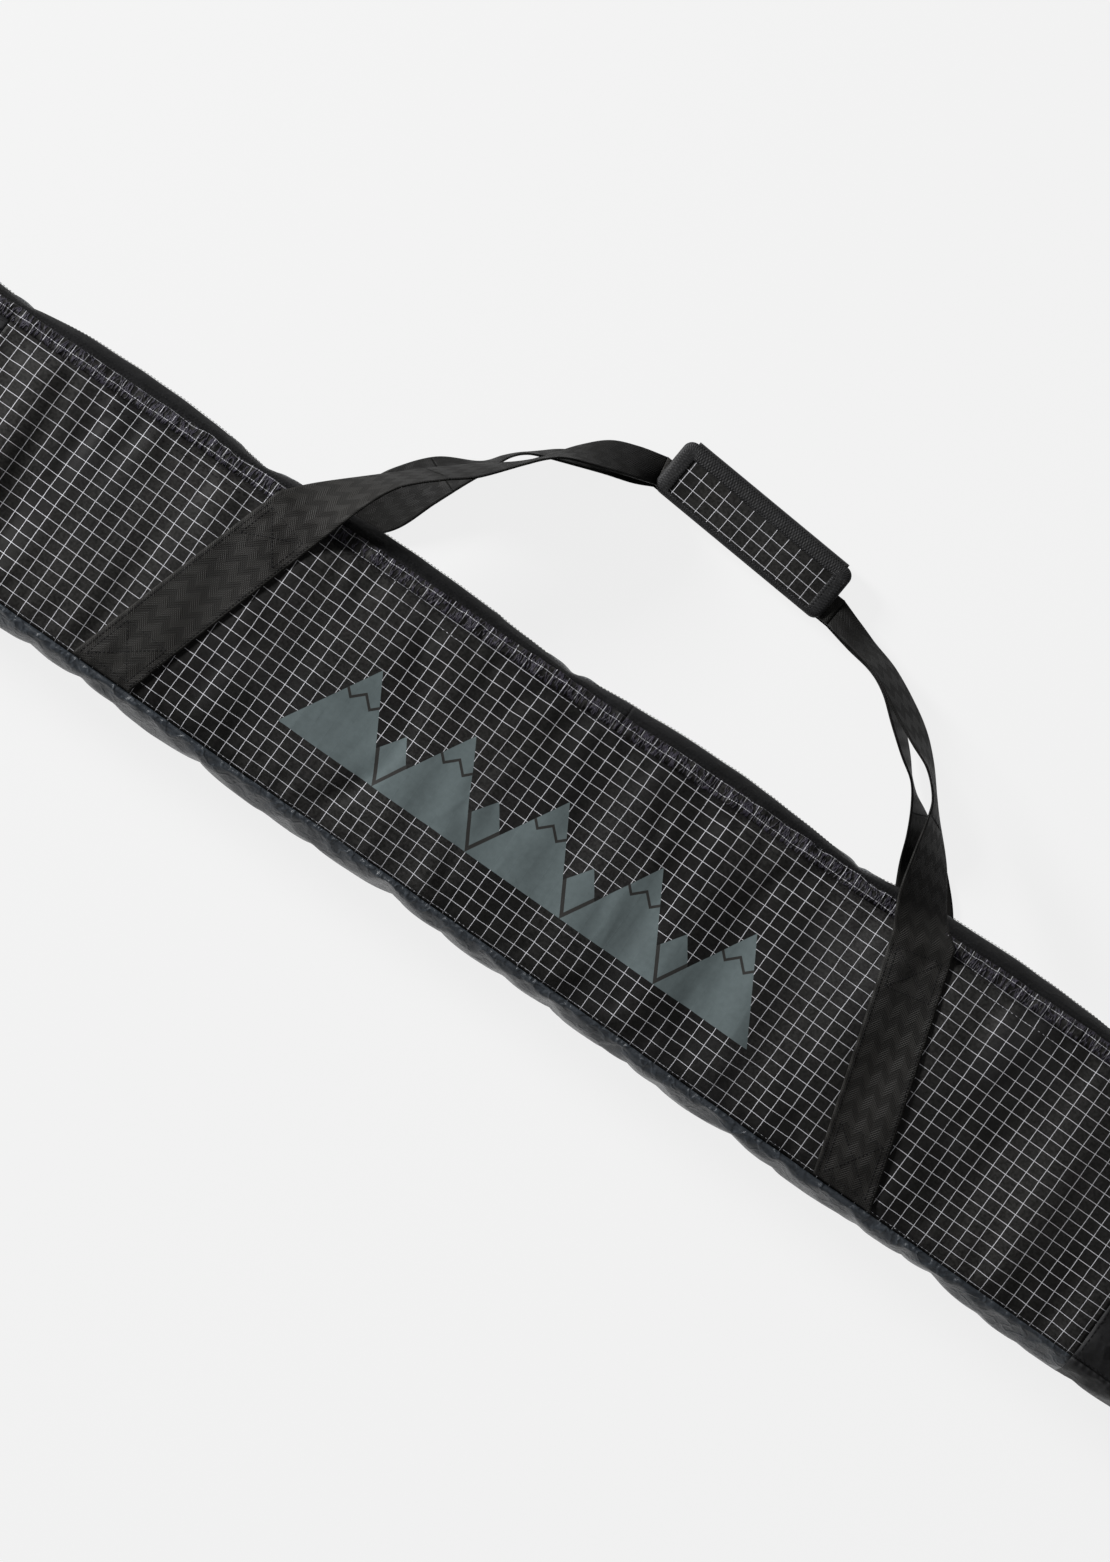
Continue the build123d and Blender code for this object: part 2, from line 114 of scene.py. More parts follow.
class ClothSizes(bpy.types.PropertyGroup):
    """Sizes of the cloth that a maker would change."""

    grid_along: bpy.props.FloatProperty(
        name="Grid along", description="Spacing of the white yarns along the bag",
        default=11.2 * MM, unit="LENGTH")
    grid_across: bpy.props.FloatProperty(
        name="Grid across", description="Spacing of the white yarns across the bag",
        default=9.9 * MM, unit="LENGTH")
    yarn_width: bpy.props.FloatProperty(
        name="Yarn width", description="Width of one white yarn", default=0.46 * MM, unit="LENGTH")
    mesh_step: bpy.props.FloatProperty(
        name="Mesh step", description="Spacing of the cloth's points", default=5.0 * MM, unit="LENGTH")
    panel_crown: bpy.props.FloatProperty(
        name="Panel crown", description="How far the padded front panel stands proud of its seams",
        default=3.5 * MM, unit="LENGTH")
    gusset_slack: bpy.props.FloatProperty(
        name="Gusset slack", description="Extra cloth eased into the gussets", default=0.045,
        subtype="FACTOR")
    panel_slack: bpy.props.FloatProperty(
        name="Panel slack", description="Extra cloth eased into the front panel", default=0.012,
        subtype="FACTOR")
    zip_bulge: bpy.props.FloatProperty(
        name="Zip bulge", description="How far the zip edge swells between its cusps",
        default=10.0 * MM, unit="LENGTH")


class ClothColours(bpy.types.PropertyGroup):
    """Colours of the cloth, webbing and print."""

    ground: bpy.props.FloatVectorProperty(
        name="Ripstop", description="Ground colour of the ripstop cloth", subtype="COLOR",
        default=(0.0150, 0.0146, 0.0140))
    yarn: bpy.props.FloatVectorProperty(
        name="Yarn", description="Colour of the grid yarn", subtype="COLOR", default=(0.56, 0.56, 0.59))
    plain: bpy.props.FloatVectorProperty(
        name="End cloth", description="Colour of the plain end panels", subtype="COLOR",
        default=(0.009, 0.009, 0.0095))
    coated: bpy.props.FloatVectorProperty(
        name="Coated cloth", description="Colour of the coated gusset and back", subtype="COLOR",
        default=(0.020, 0.024, 0.029))
    webbing: bpy.props.FloatVectorProperty(
        name="Webbing", description="Colour of the carrying webbing", subtype="COLOR",
        default=(0.0135, 0.013, 0.012))
    print_film: bpy.props.FloatVectorProperty(
        name="Print", description="Colour of the printed ridge band", subtype="COLOR",
        default=(0.084, 0.104, 0.107))


class PrintSizes(bpy.types.PropertyGroup):
    """The printed ridge band on the front panel."""

    low: bpy.props.FloatVectorProperty(
        name="Lower corner", description="Lower tail-end corner of the band", size=2, unit="LENGTH",
        default=(-208 * MM, -49 * MM))
    high: bpy.props.FloatVectorProperty(
        name="Upper corner", description="Upper tip-end corner of the band", size=2, unit="LENGTH",
        default=(212 * MM, 25 * MM))
    peaks: bpy.props.IntProperty(name="Peaks", description="Number of ridges in the band", default=5)


# Meshes ---------------------------------------------------------------------------------------------------


def new_mesh(name, points, faces, uvs=None, smooth=True):
    """An object with a mesh; uvs gives one pair for each point."""
    mesh = bpy.data.meshes.new(name)
    mesh.from_pydata([tuple(p) for p in points], [], [tuple(f) for f in faces])
    mesh.update()
    if uvs is not None:
        layer = mesh.uv_layers.new(name=UV_NAME)
        corner = np.empty(len(mesh.loops), dtype=np.int64)
        mesh.loops.foreach_get("vertex_index", corner)
        layer.data.foreach_set("uv", np.asarray(uvs, dtype=np.float32)[corner].ravel())
    if smooth:
        mesh.shade_smooth()
    piece = bpy.data.objects.new(name, mesh)
    bpy.context.scene.collection.objects.link(piece)
    return piece


def settle(piece):
    """Applies every modifier to a piece's mesh."""
    graph = bpy.context.evaluated_depsgraph_get()
    mesh = bpy.data.meshes.new_from_object(piece.evaluated_get(graph), preserve_all_data_layers=True,
                                           depsgraph=graph)
    piece.modifiers.clear()
    old = piece.data
    piece.data = mesh
    bpy.data.meshes.remove(old)
    mesh.shade_smooth()
    return piece


def thicken(piece, thickness, levels=1, offset=-1.0):
    """Rounds a cloth surface with subdivision and gives it its thickness."""
    if levels:
        rounder = piece.modifiers.new("Round", "SUBSURF")
        rounder.levels = rounder.render_levels = levels
        rounder.uv_smooth = "PRESERVE_BOUNDARIES"
        rounder.boundary_smooth = "PRESERVE_CORNERS"
    solid = piece.modifiers.new("Thickness", "SOLIDIFY")
    solid.thickness = thickness
    solid.offset = offset
    solid.use_even_offset = False
    return settle(piece)


def dress(piece, material, body=None, nodes=()):
    """Gives a piece its material and slot, the body it rides on and the nodes it stands for."""
    piece.data.materials.clear()
    piece.data.materials.append(material)
    if body:
        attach(piece, body)
    if nodes:
        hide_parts(*nodes)
    return piece


def join_parts(parts):
    """Points, faces and UVs of several (points, faces, uvs) parts as one."""
    points, faces, uvs = [], [], []
    for part_points, part_faces, part_uvs in parts:
        start = len(points)
        points.extend(part_points)
        faces.extend([tuple(index + start for index in face) for face in part_faces])
        uvs.extend(part_uvs)
    return points, faces, uvs


# The bag's shell ------------------------------------------------------------------------------------------

# Where along the bag the zip edge is drawn in between two swellings
zip_cusps = [-0.790, -0.534, -0.323, -0.052, 0.207, 0.480, 0.660, 0.800]
# Heights of the wall's rows of points, from the front seam down to the back seam, and the rows that the
# zip's tapes start, meet and end on
row_heights = [front_seam_z, 83.2 * MM, 81.6 * MM, 79.6 * MM, 77.6 * MM, 74 * MM, 70 * MM, 65.5 * MM,
               61 * MM, 56 * MM, 51 * MM, zip_z, 43 * MM, 38 * MM, 33 * MM, 27 * MM, 21 * MM, 15 * MM,
               9.5 * MM, 6 * MM, back_seam_z]
front_tape_row = 4
zip_row = 11
back_tape_row = 15
zip_slit = 0.9 * MM


def cusp_bulge(x):
    """Swelling of the zip edge at x: 0 at a cusp and 1 at the fullest place between two."""
    for low, high in zip(zip_cusps, zip_cusps[1:]):
        if low <= x <= high:
            share = (x - low) / (high - low)
            return math.sin(math.pi * share ** 0.85) ** 0.7
    return 0.0


def zip_swell(x):
    """How far the zip's middle line stands out of its straight line at x; 0 where the sliders park."""
    calm_tail = min(1.0, max(0.0, (x + 0.665) / 0.05))
    calm_tip = min(1.0, max(0.0, (0.740 - x) / 0.05))
    return bpy.context.scene.bag_cloth.zip_bulge * (cusp_bulge(x) - 0.6) * calm_tail * calm_tip


def column_stations(step):
    """Where the shell's columns stand: (x before rounding, corner angle) from the tail to the tip."""
    corner_steps = max(6, int(math.pi / 2 * corner_radius / step))
    straight = half_length - corner_radius
    stops = [-straight, zip_tail_x, -grid_half, 0.0, grid_half, zip_tip_x, straight]
    columns = [(-straight, math.pi / 2 * (1 - i / corner_steps)) for i in range(corner_steps)]
    for low, high in zip(stops, stops[1:]):
        count = max(1, round((high - low) / step))
        columns += [(low + (high - low) * i / count, 0.0) for i in range(count)]
    columns += [(straight, math.pi / 2 * i / corner_steps) for i in range(corner_steps + 1)]
    return columns


def outline_point(column, side, step_bottom, step_top, step_end, inset):
    """A point of an outline and the way out of it: side is -1 on the bottom edge and 1 on the zip edge."""
    x, angle = column
    step = step_bottom if side < 0 else step_top
    end = -1 if x < 0 else 1
    radius = corner_radius - step_end - inset
    px = x + end * radius * math.sin(angle)
    drop = radius * (1 - math.cos(angle))
    if side < 0:
        py = bottom_y + step + inset + drop
    else:
        py = edge_y(px) - step - inset - drop
    return Vector((px, py, 0)), Vector((end * math.sin(angle), side * math.cos(angle), 0))


def wall_reach(height, side_step_front, side_step_back):
    """How far the wall stands outside the front seam at a height, on a rounded section."""
    shoulder, heel = 58 * MM, 34 * MM
    if height >= shoulder:
        share = min(1.0, (height - shoulder) / (front_seam_z - shoulder))
        return side_step_front * math.sqrt(max(0.0, 1 - share ** 1.7))
    if height <= heel:
        share = min(1.0, (heel - height) / (heel - back_seam_z))
        return side_step_front - side_step_back * (1 - math.sqrt(max(0.0, 1 - share ** 2.2)))
    return side_step_front


class Shell:
    """Points, faces and cloth coordinates of the bag's shell, with a piece name for each face."""

    def __init__(self, step, inset=0.0, lively=True):
        self.columns = column_stations(step)
        self.rows = max(6, int((edge_middle - front_step_top - bottom_y - front_step_bottom) / step))
        self.inset = inset
        self.lively = lively
        self.points, self.uvs, self.faces, self.labels = [], [], [], []
        self.pinned, self.slack = [], []
        self.make_front()
        self.make_wall()

    def add(self, point, uv, pinned, slack):
        self.points.append(point)
        self.uvs.append(uv)
        self.pinned.append(pinned)
        self.slack.append(slack)
        return len(self.points) - 1

    def seam_wander(self, x, side):
        """Small unevenness of the front seams."""
        if not self.lively:
            return 0.0
        slow = noise.noise(Vector((x * 9.0, side * 3.7, 0.3)))
        quick = noise.noise(Vector((x * 34.0, side * 1.9, 4.1)))
        return (1.2 * slow + 0.5 * quick) * MM * (1.5 if side > 0 else 1.0)

    def front_height(self, x, y, low, high):
        """The padded front panel's height: crowned, with soft bands where the padding buckles."""
        seam = front_seam_z - self.inset
        distance = min(y - low, high - y, half_length - front_step_end - abs(x) + 2 * MM)
        rise = 1 - math.exp(-max(0.0, distance) / (9 * MM))
        if not self.lively:
            return seam - 4.0 * MM * rise
        sizes = bpy.context.scene.bag_cloth
        belly = math.sin(math.pi * min(1.0, max(0.0, (y - low) / (high - low))))
        bands = noise.noise(Vector((x * 17.0 + 0.6 * y, y * 2.2, 0.0)))
        broad = noise.noise(Vector((x * 6.0, y * 4.0, 7.0)))
        tail_fold = max(0.0, -x - 0.28) * 6.0
        live = (5.5 + 5.0 * min(1.0, tail_fold)) * bands + 3.0 * broad
        return seam + rise * (sizes.panel_crown * (0.55 + 0.45 * belly) + live * MM * (0.35 + 0.65 * belly))

    def make_front(self):
        self.front = []
        steps = (front_step_bottom, front_step_top, front_step_end, self.inset)
        for column in self.columns:
            low, low_out = outline_point(column, -1, *steps)
            high, high_out = outline_point(column, 1, *steps)
            low += low_out * self.seam_wander(low.x, -1)
            high += high_out * self.seam_wander(high.x, 1)
            line = []
            for row in range(self.rows + 1):
                share = row / self.rows
                at = low.lerp(high, share)
                edge = row in (0, self.rows) or column in (self.columns[0], self.columns[-1])
                z = front_seam_z - self.inset if edge else self.front_height(at.x, at.y, low.y, high.y)
                line.append(self.add(Vector((at.x, at.y, z)), (at.x, at.y), 1.0 if edge else 0.0, 0.0))
            self.front.append(line)
        for a, b in zip(self.front, self.front[1:]):
            middle_x = (self.points[a[1]].x + self.points[b[1]].x) / 2
            label = "front_panel"
            if abs(middle_x) > grid_half:
                label = "tip_end_front" if middle_x > 0 else "tail_end_front"
            for row in range(self.rows):
                self.faces.append((a[row], b[row], b[row + 1], a[row + 1]))
                self.labels.append(label)

    def loop(self):
        """The seam's points in order round the bag: (point index, column, side, way out)."""
        steps = (front_step_bottom, front_step_top, front_step_end, self.inset)
        around = [(line[0], column, "bottom", outline_point(column, -1, *steps)[1])
                  for line, column in zip(self.front, self.columns)]
        around += [(index, self.columns[-1], "tip", Vector((1, 0, 0)))
                   for index in self.front[-1][1:-1]]
        around += [(line[-1], column, "top", outline_point(column, 1, *steps)[1])
                   for line, column in reversed(list(zip(self.front, self.columns)))]
        around += [(index, self.columns[0], "tail", Vector((-1, 0, 0)))
                   for index in reversed(self.front[0][1:-1])]
        return around

    def make_wall(self):
        around = self.loop()
        self.ring = [[index for index, *_ in around]]
        travel, run = [0.0], 0.0
        for (a, *_), (b, *_) in zip(around, around[1:] + around[:1]):
            run += (self.points[b] - self.points[a]).length
            travel.append(run)
        for row, height in enumerate(row_heights[1:], 1):
            ring = []
            last = row == len(row_heights) - 1
            for number, (index, column, side, out) in enumerate(around):
                seam = self.points[index]
                up = max(0.0, out.y)
                down = max(0.0, -out.y)
                across = abs(out.x)
                weight = up * up + down * down + across * across
                front_step = (up * up * front_step_top + down * down * front_step_bottom
                              + across * across * front_step_end) / weight
                back_step = (up * up * back_step_top + down * down * back_step_bottom
                             + across * across * back_step_end) / weight
                reach = wall_reach(height, front_step, back_step)
                z = height
                if self.inset:
                    z = min(max(height, back_seam_z + self.inset), front_seam_z - self.inset)
                live = 0.0
                if self.lively and not last:
                    belly = math.sin(math.pi * (front_seam_z - height) / (front_seam_z - back_seam_z))
                    on_tape = side == "top" and front_tape_row < row < back_tape_row
                    calm = 0.0 if on_tape else (0.35 if side == "top" else 0.6)
                    broad = noise.noise(Vector((travel[number] * 14.0, height * 22.0, 2.0)))
                    fine = noise.noise(Vector((travel[number] * 55.0, height * 30.0, 5.0)))
                    live = belly * calm * (2.2 * MM * broad + 0.9 * MM * fine)
                    if side == "top":
                        lift = min(1.0, max(0.0, (front_seam_z - height - 5 * MM)) / (13 * MM))
                        live += zip_swell(seam.x) * lift * belly ** 0.5 * up
                        if abs(row - zip_row) < 3:
                            live -= 0.7 * MM
                        if row < front_tape_row:
                            live += 3.0 * MM * (1 - cusp_bulge(seam.x)) * row / front_tape_row * up
                at = seam + out * (reach + live)
                held = last or (side == "top" and front_tape_row <= row <= back_tape_row)
                weight_slack = 0.0 if held else (1.0 if side == "top" else 0.3)
                ring.append(self.add(Vector((at.x, at.y, z)), (travel[number], height),
                                     1.0 if held else 0.0, weight_slack))
            self.ring.append(ring)
        self.wall_uv_fix(around)
        count = len(around)
        for row in range(len(row_heights) - 1):
            for number in range(count):
                after = (number + 1) % count
                a, b = self.ring[row][number], self.ring[row][after]
                c, d = self.ring[row + 1][after], self.ring[row + 1][number]
                self.faces.append((a, d, c, b))
                self.labels.append(self.wall_label(around[number], around[after], row))

    def wall_uv_fix(self, around):
        """Cloth coordinates of the wall: x along the bag, and the way travelled down from the front seam."""
        for number, (index, column, side, out) in enumerate(around):
            down = 0.0
            for upper, lower in zip(self.ring, self.ring[1:]):
                down += (self.points[lower[number]] - self.points[upper[number]]).length
                x, y, z = self.points[index]
                along = x + (y * 0.9 if side in ("tip", "tail") else 0.0)
                self.uvs[lower[number]] = (along, y + (down if side == "top" else -down))

    def wall_label(self, first, second, row):
        x = (self.points[first[0]].x + self.points[second[0]].x) / 2
        sides = {first[2], second[2]}
        if sides == {"top"} and zip_tail_x < x < zip_tip_x:
            half = "tail" if x < 0 else "tip"
            if row < front_tape_row:
                return f"top_gusset_front_{half}"
            if row < zip_row:
                return f"zip_tape_front_{half}"
            if row < back_tape_row:
                return f"zip_tape_back_{half}"
            return f"top_gusset_back_{half}"
        if sides == {"bottom"} and abs(x) < grid_half:
            return "bottom_gusset"
        return "tip_end_gusset" if x > 0 else "tail_end_gusset"

    def cut(self, label, name=None):
        """The faces of one label as a piece of its own."""
        chosen = [face for face, own in zip(self.faces, self.labels) if own == label]
        used = sorted({index for face in chosen for index in face})
        place = {index: number for number, index in enumerate(used)}
        faces = [tuple(place[index] for index in face) for face in chosen]
        points = [self.points[i].copy() for i in used]
        if label.startswith("zip_tape"):
            zip_line = set(self.ring[zip_row])
            for number, index in enumerate(used):
                if index in zip_line:
                    points[number].z += zip_slit / 2 if "front" in label else -zip_slit / 2
        return new_mesh(name or label, points, faces, [self.uvs[i] for i in used])


def simulate(shell):
    """Eases slack into the shell's cloth, blows it out gently and lets it buckle between its seams."""
    scene = bpy.context.scene
    sizes = scene.bag_cloth
    piece = new_mesh("shell_cloth", shell.points, shell.faces)
    held = piece.vertex_groups.new(name="held")
    eased = piece.vertex_groups.new(name="eased")
    most = sizes.gusset_slack
    for index, (pin, slack) in enumerate(zip(shell.pinned, shell.slack)):
        if pin:
            held.add([index], 1.0, "REPLACE")
        growth = most * slack if slack else sizes.panel_slack
        eased.add([index], 1.0 if pin else 1.0 - growth / most, "REPLACE")
    cloth = piece.modifiers.new("Cloth", "CLOTH")
    settings = cloth.settings
    settings.quality = 6
    settings.mass = 0.25
    settings.tension_stiffness = settings.compression_stiffness = 18
    settings.shear_stiffness = 8
    settings.bending_stiffness = 0.6
    settings.vertex_group_mass = "held"
    settings.pin_stiffness = 1.0
    settings.vertex_group_shrink = "eased"
    settings.shrink_min = -most
    settings.shrink_max = 0.0
    settings.use_pressure = True
    settings.uniform_pressure_force = 1.2
    settings.effector_weights.gravity = 0.0
    cloth.collision_settings.use_collision = False
    cloth.point_cache.frame_start = 1
    frames = 18
    cloth.point_cache.frame_end = frames
    for number in range(1, frames + 1):
        scene.frame_set(number)
    graph = bpy.context.evaluated_depsgraph_get()
    moved = piece.evaluated_get(graph).data
    most_move = 7 * MM
    for index, vertex in enumerate(moved.vertices):
        shift = vertex.co - shell.points[index]
        if shift.length > most_move:
            shift *= most_move / shift.length
        if not shell.pinned[index]:
            shell.points[index] = shell.points[index] + shift
    scene.frame_set(1)
    bpy.data.objects.remove(piece)


def fold_front(shell):
    """Adds the soft folds across the padded front panel, deepest at the tail end."""
    crown_limit, peak_limit = front_z + 4 * MM, front_z + 8 * MM
    broad_fold, small_fold, sink = 3.15 * MM, 0.5 * MM, 0.5 * MM
    for line in shell.front[1:-1]:
        low, high = shell.points[line[0]], shell.points[line[-1]]
        for index in line[1:-1]:
            x, y, z = shell.points[index]
            inside = min(y - low.y, high.y - y)
            rise = 1 - math.exp(-max(0.0, inside) / (16 * MM))
            near_tail = min(1.0, max(0.0, (-x - 0.20) * 4.0))
            near_tip = min(1.0, max(0.0, (x - 0.28) * 5.0))
            deep = 1.7 + 2.6 * near_tail + 0.8 * near_tip
            fold = noise.noise(Vector((x * 21.0 + y * 1.6, y * 2.4, 11.0)))
            small = noise.noise(Vector((x * 48.0 + y * 4.0, y * 9.0, 15.0)))
            z -= 0.65 * max(0.0, z - crown_limit)
            z += rise * deep * (broad_fold * fold + small_fold * small - sink)
            shell.points[index] = Vector((x, y, z - 0.6 * max(0.0, z - peak_limit)))


def gather_zip_strip(shell):
    """Puckers the strip of cloth between the front seam and the zip tape."""
    depth = 2.6 * MM
    outward = zip_out * 0.6 + Vector((0, 0, 0.8))
    for row in range(1, front_tape_row):
        for index in shell.ring[row]:
            x, y, z = shell.points[index]
            if y > 0 and zip_tail_x < x < zip_tip_x:
                pucker = noise.noise(Vector((x * 105.0, row * 0.5, 21.0)))
                shell.points[index] = Vector((x, y, z)) + outward * pucker * depth


def press_seams(shell):
    """Pulls the seam lines into the shell, so that each shows as a valley with a fold of cloth beside it."""
    depth = 2.4 * MM
    for index in shell.ring[0]:
        shell.points[index] = shell.points[index] - Vector((0, 0, depth))
    for number in range(len(shell.ring[0])):
        for row, share in ((front_tape_row, 0.5), (back_tape_row, 0.5)):
            x, y, z = shell.points[shell.ring[row][number]]
            if y > 0 and zip_tail_x < x < zip_tip_x:
                shell.points[shell.ring[row][number]] -= zip_out * (depth * share)
    for index in shell.ring[-1]:
        inward = Vector((0, 1 if shell.points[index].y < 0 else -1, 0))
        shell.points[index] = shell.points[index] + inward * depth * 0.5


# Finishes -------------------------------------------------------------------------------------------------


class Net:
    """Places and joins the nodes of one tree."""

    def __init__(self, tree):
        self.tree = tree

    def put(self, socket, value):
        if isinstance(value, bpy.types.NodeSocket):
            self.tree.links.new(value, socket)
        elif value is not None:
            socket.default_value = value

    def node(self, kind, values=(), **settings):
        made = self.tree.nodes.new(kind)
        for key, value in settings.items():
            setattr(made, key, value)
        for key, value in dict(values).items():
            self.put(made.inputs[key], value)
        return made

    def math(self, operation, a, b=None, c=None, clamp=False):
        made = self.node("ShaderNodeMath", operation=operation, use_clamp=clamp)
        for socket, value in zip(made.inputs, (a, b, c)):
            self.put(socket, value)
        return made.outputs[0]

    def steps(self, value, low, high):
        """0 below low and 1 above high, smooth between; high below low turns it round."""
        made = self.node("ShaderNodeMapRange", {"Value": value, "From Min": low, "From Max": high},
                         interpolation_type="SMOOTHSTEP")
        return made.outputs["Result"]

    def mix(self, share, a, b):
        made = self.node("ShaderNodeMix", data_type="RGBA")
        self.put(made.inputs["Factor"], share)
        self.put(made.inputs[6], a)
        self.put(made.inputs[7], b)
        return made.outputs[2]

    def noise(self, vector, scale, detail=2.0, rough=0.5):
        made = self.node("ShaderNodeTexNoise", {"Vector": vector, "Scale": scale, "Detail": detail,
                                                "Roughness": rough})
        return made.outputs["Fac"]

    def stretch(self, vector, scale):
        made = self.node("ShaderNodeVectorMath", {0: vector, 1: scale}, operation="MULTIPLY")
        return made.outputs[0]

    def split(self, vector):
        made = self.node("ShaderNodeSeparateXYZ", {0: vector})
        return made.outputs

    def bump(self, height, distance, strength=1.0, normal=None):
        made = self.node("ShaderNodeBump", {"Height": height, "Distance": distance, "Strength": strength})
        if normal is not None:
            self.put(made.inputs["Normal"], normal)
        return made.outputs["Normal"]

    def group(self, name, **values):
        made = self.tree.nodes.new("ShaderNodeGroup")
        made.node_tree = groups()[name]
        for key, value in values.items():
            self.put(made.inputs[key.replace("_", " ")], value)
        return made.outputs


def new_group(name, inputs, outputs):
    """A group with named sockets, and its net, inputs and output node."""
    tree = bpy.data.node_groups.new(name, "ShaderNodeTree")
    for label, kind in inputs:
        tree.interface.new_socket(name=label, in_out="INPUT", socket_type="NodeSocket" + kind)
    for label, kind in outputs:
        tree.interface.new_socket(name=label, in_out="OUTPUT", socket_type="NodeSocket" + kind)
    net = Net(tree)
    return net, net.node("NodeGroupInput").outputs, net.node("NodeGroupOutput").inputs


def make_grid_group():
    net, given, result = new_group("Ripstop Grid", [("Cloth", "Vector"), ("Along", "Float"),
                                                    ("Across", "Float"), ("Yarn", "Float")],
                                   [("Yarn Mask", "Float")])
    wander = net.math("MULTIPLY_ADD", net.noise(given["Cloth"], 60.0, 1.0), 0.06, -0.03)
    masks = []
    for axis, pitch in ((0, "Along"), (1, "Across")):
        place = net.math("ADD", net.math("DIVIDE", net.split(given["Cloth"])[axis], given[pitch]), wander)
        away = net.math("ABSOLUTE", net.math("SUBTRACT", net.math("FRACT", place), 0.5))
        away = net.math("MULTIPLY", away, given[pitch])
        broken = net.noise(net.stretch(given["Cloth"], (900.0, 900.0, 1.0)), 1.0, 1.0)
        broken = net.steps(broken, 0.30, 0.52)
        outside, inside = (net.math("MULTIPLY", given["Yarn"], share) for share in (0.62, 0.38))
        line = net.steps(away, outside, inside)
        masks.append(net.math("MULTIPLY", line, net.math("MULTIPLY_ADD", broken, 0.4, 0.6)))
    net.put(result["Yarn Mask"], net.math("MAXIMUM", masks[0], masks[1]))
    return net.tree


def make_weave_group():
    net, given, result = new_group("Plain Weave", [("Cloth", "Vector"), ("Pitch", "Float")],
                                   [("Height", "Float"), ("Tone", "Float")])
    x, y, _ = net.split(given["Cloth"])
    turn = net.math("DIVIDE", math.pi, given["Pitch"])
    across = net.math("SINE", net.math("MULTIPLY", x, turn))
    along = net.math("SINE", net.math("MULTIPLY", y, turn))
    net.put(result["Height"], net.math("MULTIPLY_ADD", net.math("MULTIPLY", across, along), 0.5, 0.5))
    net.put(result["Tone"], net.steps(net.noise(given["Cloth"], 420.0, 3.0), 0.25, 0.75))
    return net.tree


def make_crease_group():
    net, given, result = new_group("Soft Creases", [("Place", "Vector"), ("Size", "Float"),
                                                    ("Stretch", "Vector"), ("Sharpness", "Float")],
                                   [("Height", "Float"), ("Ridge", "Float")])
    place = net.stretch(given["Place"], given["Stretch"])
    broad = net.noise(place, given["Size"], 2.0, 0.45)
    fine = net.noise(place, net.math("MULTIPLY", given["Size"], 2.3), 2.0)
    fold = net.math("ABSOLUTE", net.math("SUBTRACT", fine, 0.5))
    # The ridge mask marks the crease lines; the finishes paint highlights and sheen along it.
    ridge = net.steps(fold, 0.10, 0.0)
    net.put(result["Height"], net.math("MULTIPLY_ADD", ridge, given["Sharpness"], broad))
    net.put(result["Ridge"], ridge)
    return net.tree


def make_lint_group():
    net, given, result = new_group("Lint", [("Place", "Vector"), ("Amount", "Float")], [("Mask", "Float")])
    cloud = net.steps(net.noise(given["Place"], 9.0, 4.0, 0.6), 0.45, 0.8)
    specks = net.steps(net.noise(given["Place"], 900.0, 1.0), 0.72, 0.80)
    both = net.math("MULTIPLY_ADD", cloud, 0.5, specks)
    net.put(result["Mask"], net.math("MULTIPLY", both, given["Amount"], clamp=True))
    return net.tree


def make_herringbone_group():
    net, given, result = new_group("Herringbone Webbing", [("Cloth", "Vector"), ("Pitch", "Float"),
                                                           ("Column", "Float")],
                                   [("Height", "Float"), ("Tone", "Float")])
    x, y, _ = net.split(given["Cloth"])
    column = net.math("PINGPONG", y, given["Column"])
    rib = net.math("FRACT", net.math("DIVIDE", net.math("ADD", x, column), given["Pitch"]))
    rib = net.math("SUBTRACT", 1.0, net.math("ABSOLUTE", net.math("MULTIPLY_ADD", rib, 2.0, -1.0)))
    slanted = net.math("ADD", x, net.math("MULTIPLY", column, 1.3))
    broad = net.math("FRACT", net.math("DIVIDE", slanted, net.math("MULTIPLY", given["Pitch"], 9.0)))
    band = net.steps(net.math("ABSOLUTE", net.math("SUBTRACT", broad, 0.5)), 0.20, 0.26)
    thread = net.math("SINE", net.math("MULTIPLY", y, 5200.0))
    height = net.math("MULTIPLY_ADD", rib, 0.55, net.math("MULTIPLY", band, 0.35))
    net.put(result["Height"], net.math("MULTIPLY_ADD", thread, 0.12, height))
    net.put(result["Tone"], net.math("MULTIPLY_ADD", rib, 0.35, net.math("MULTIPLY", band, 0.65)))
    return net.tree


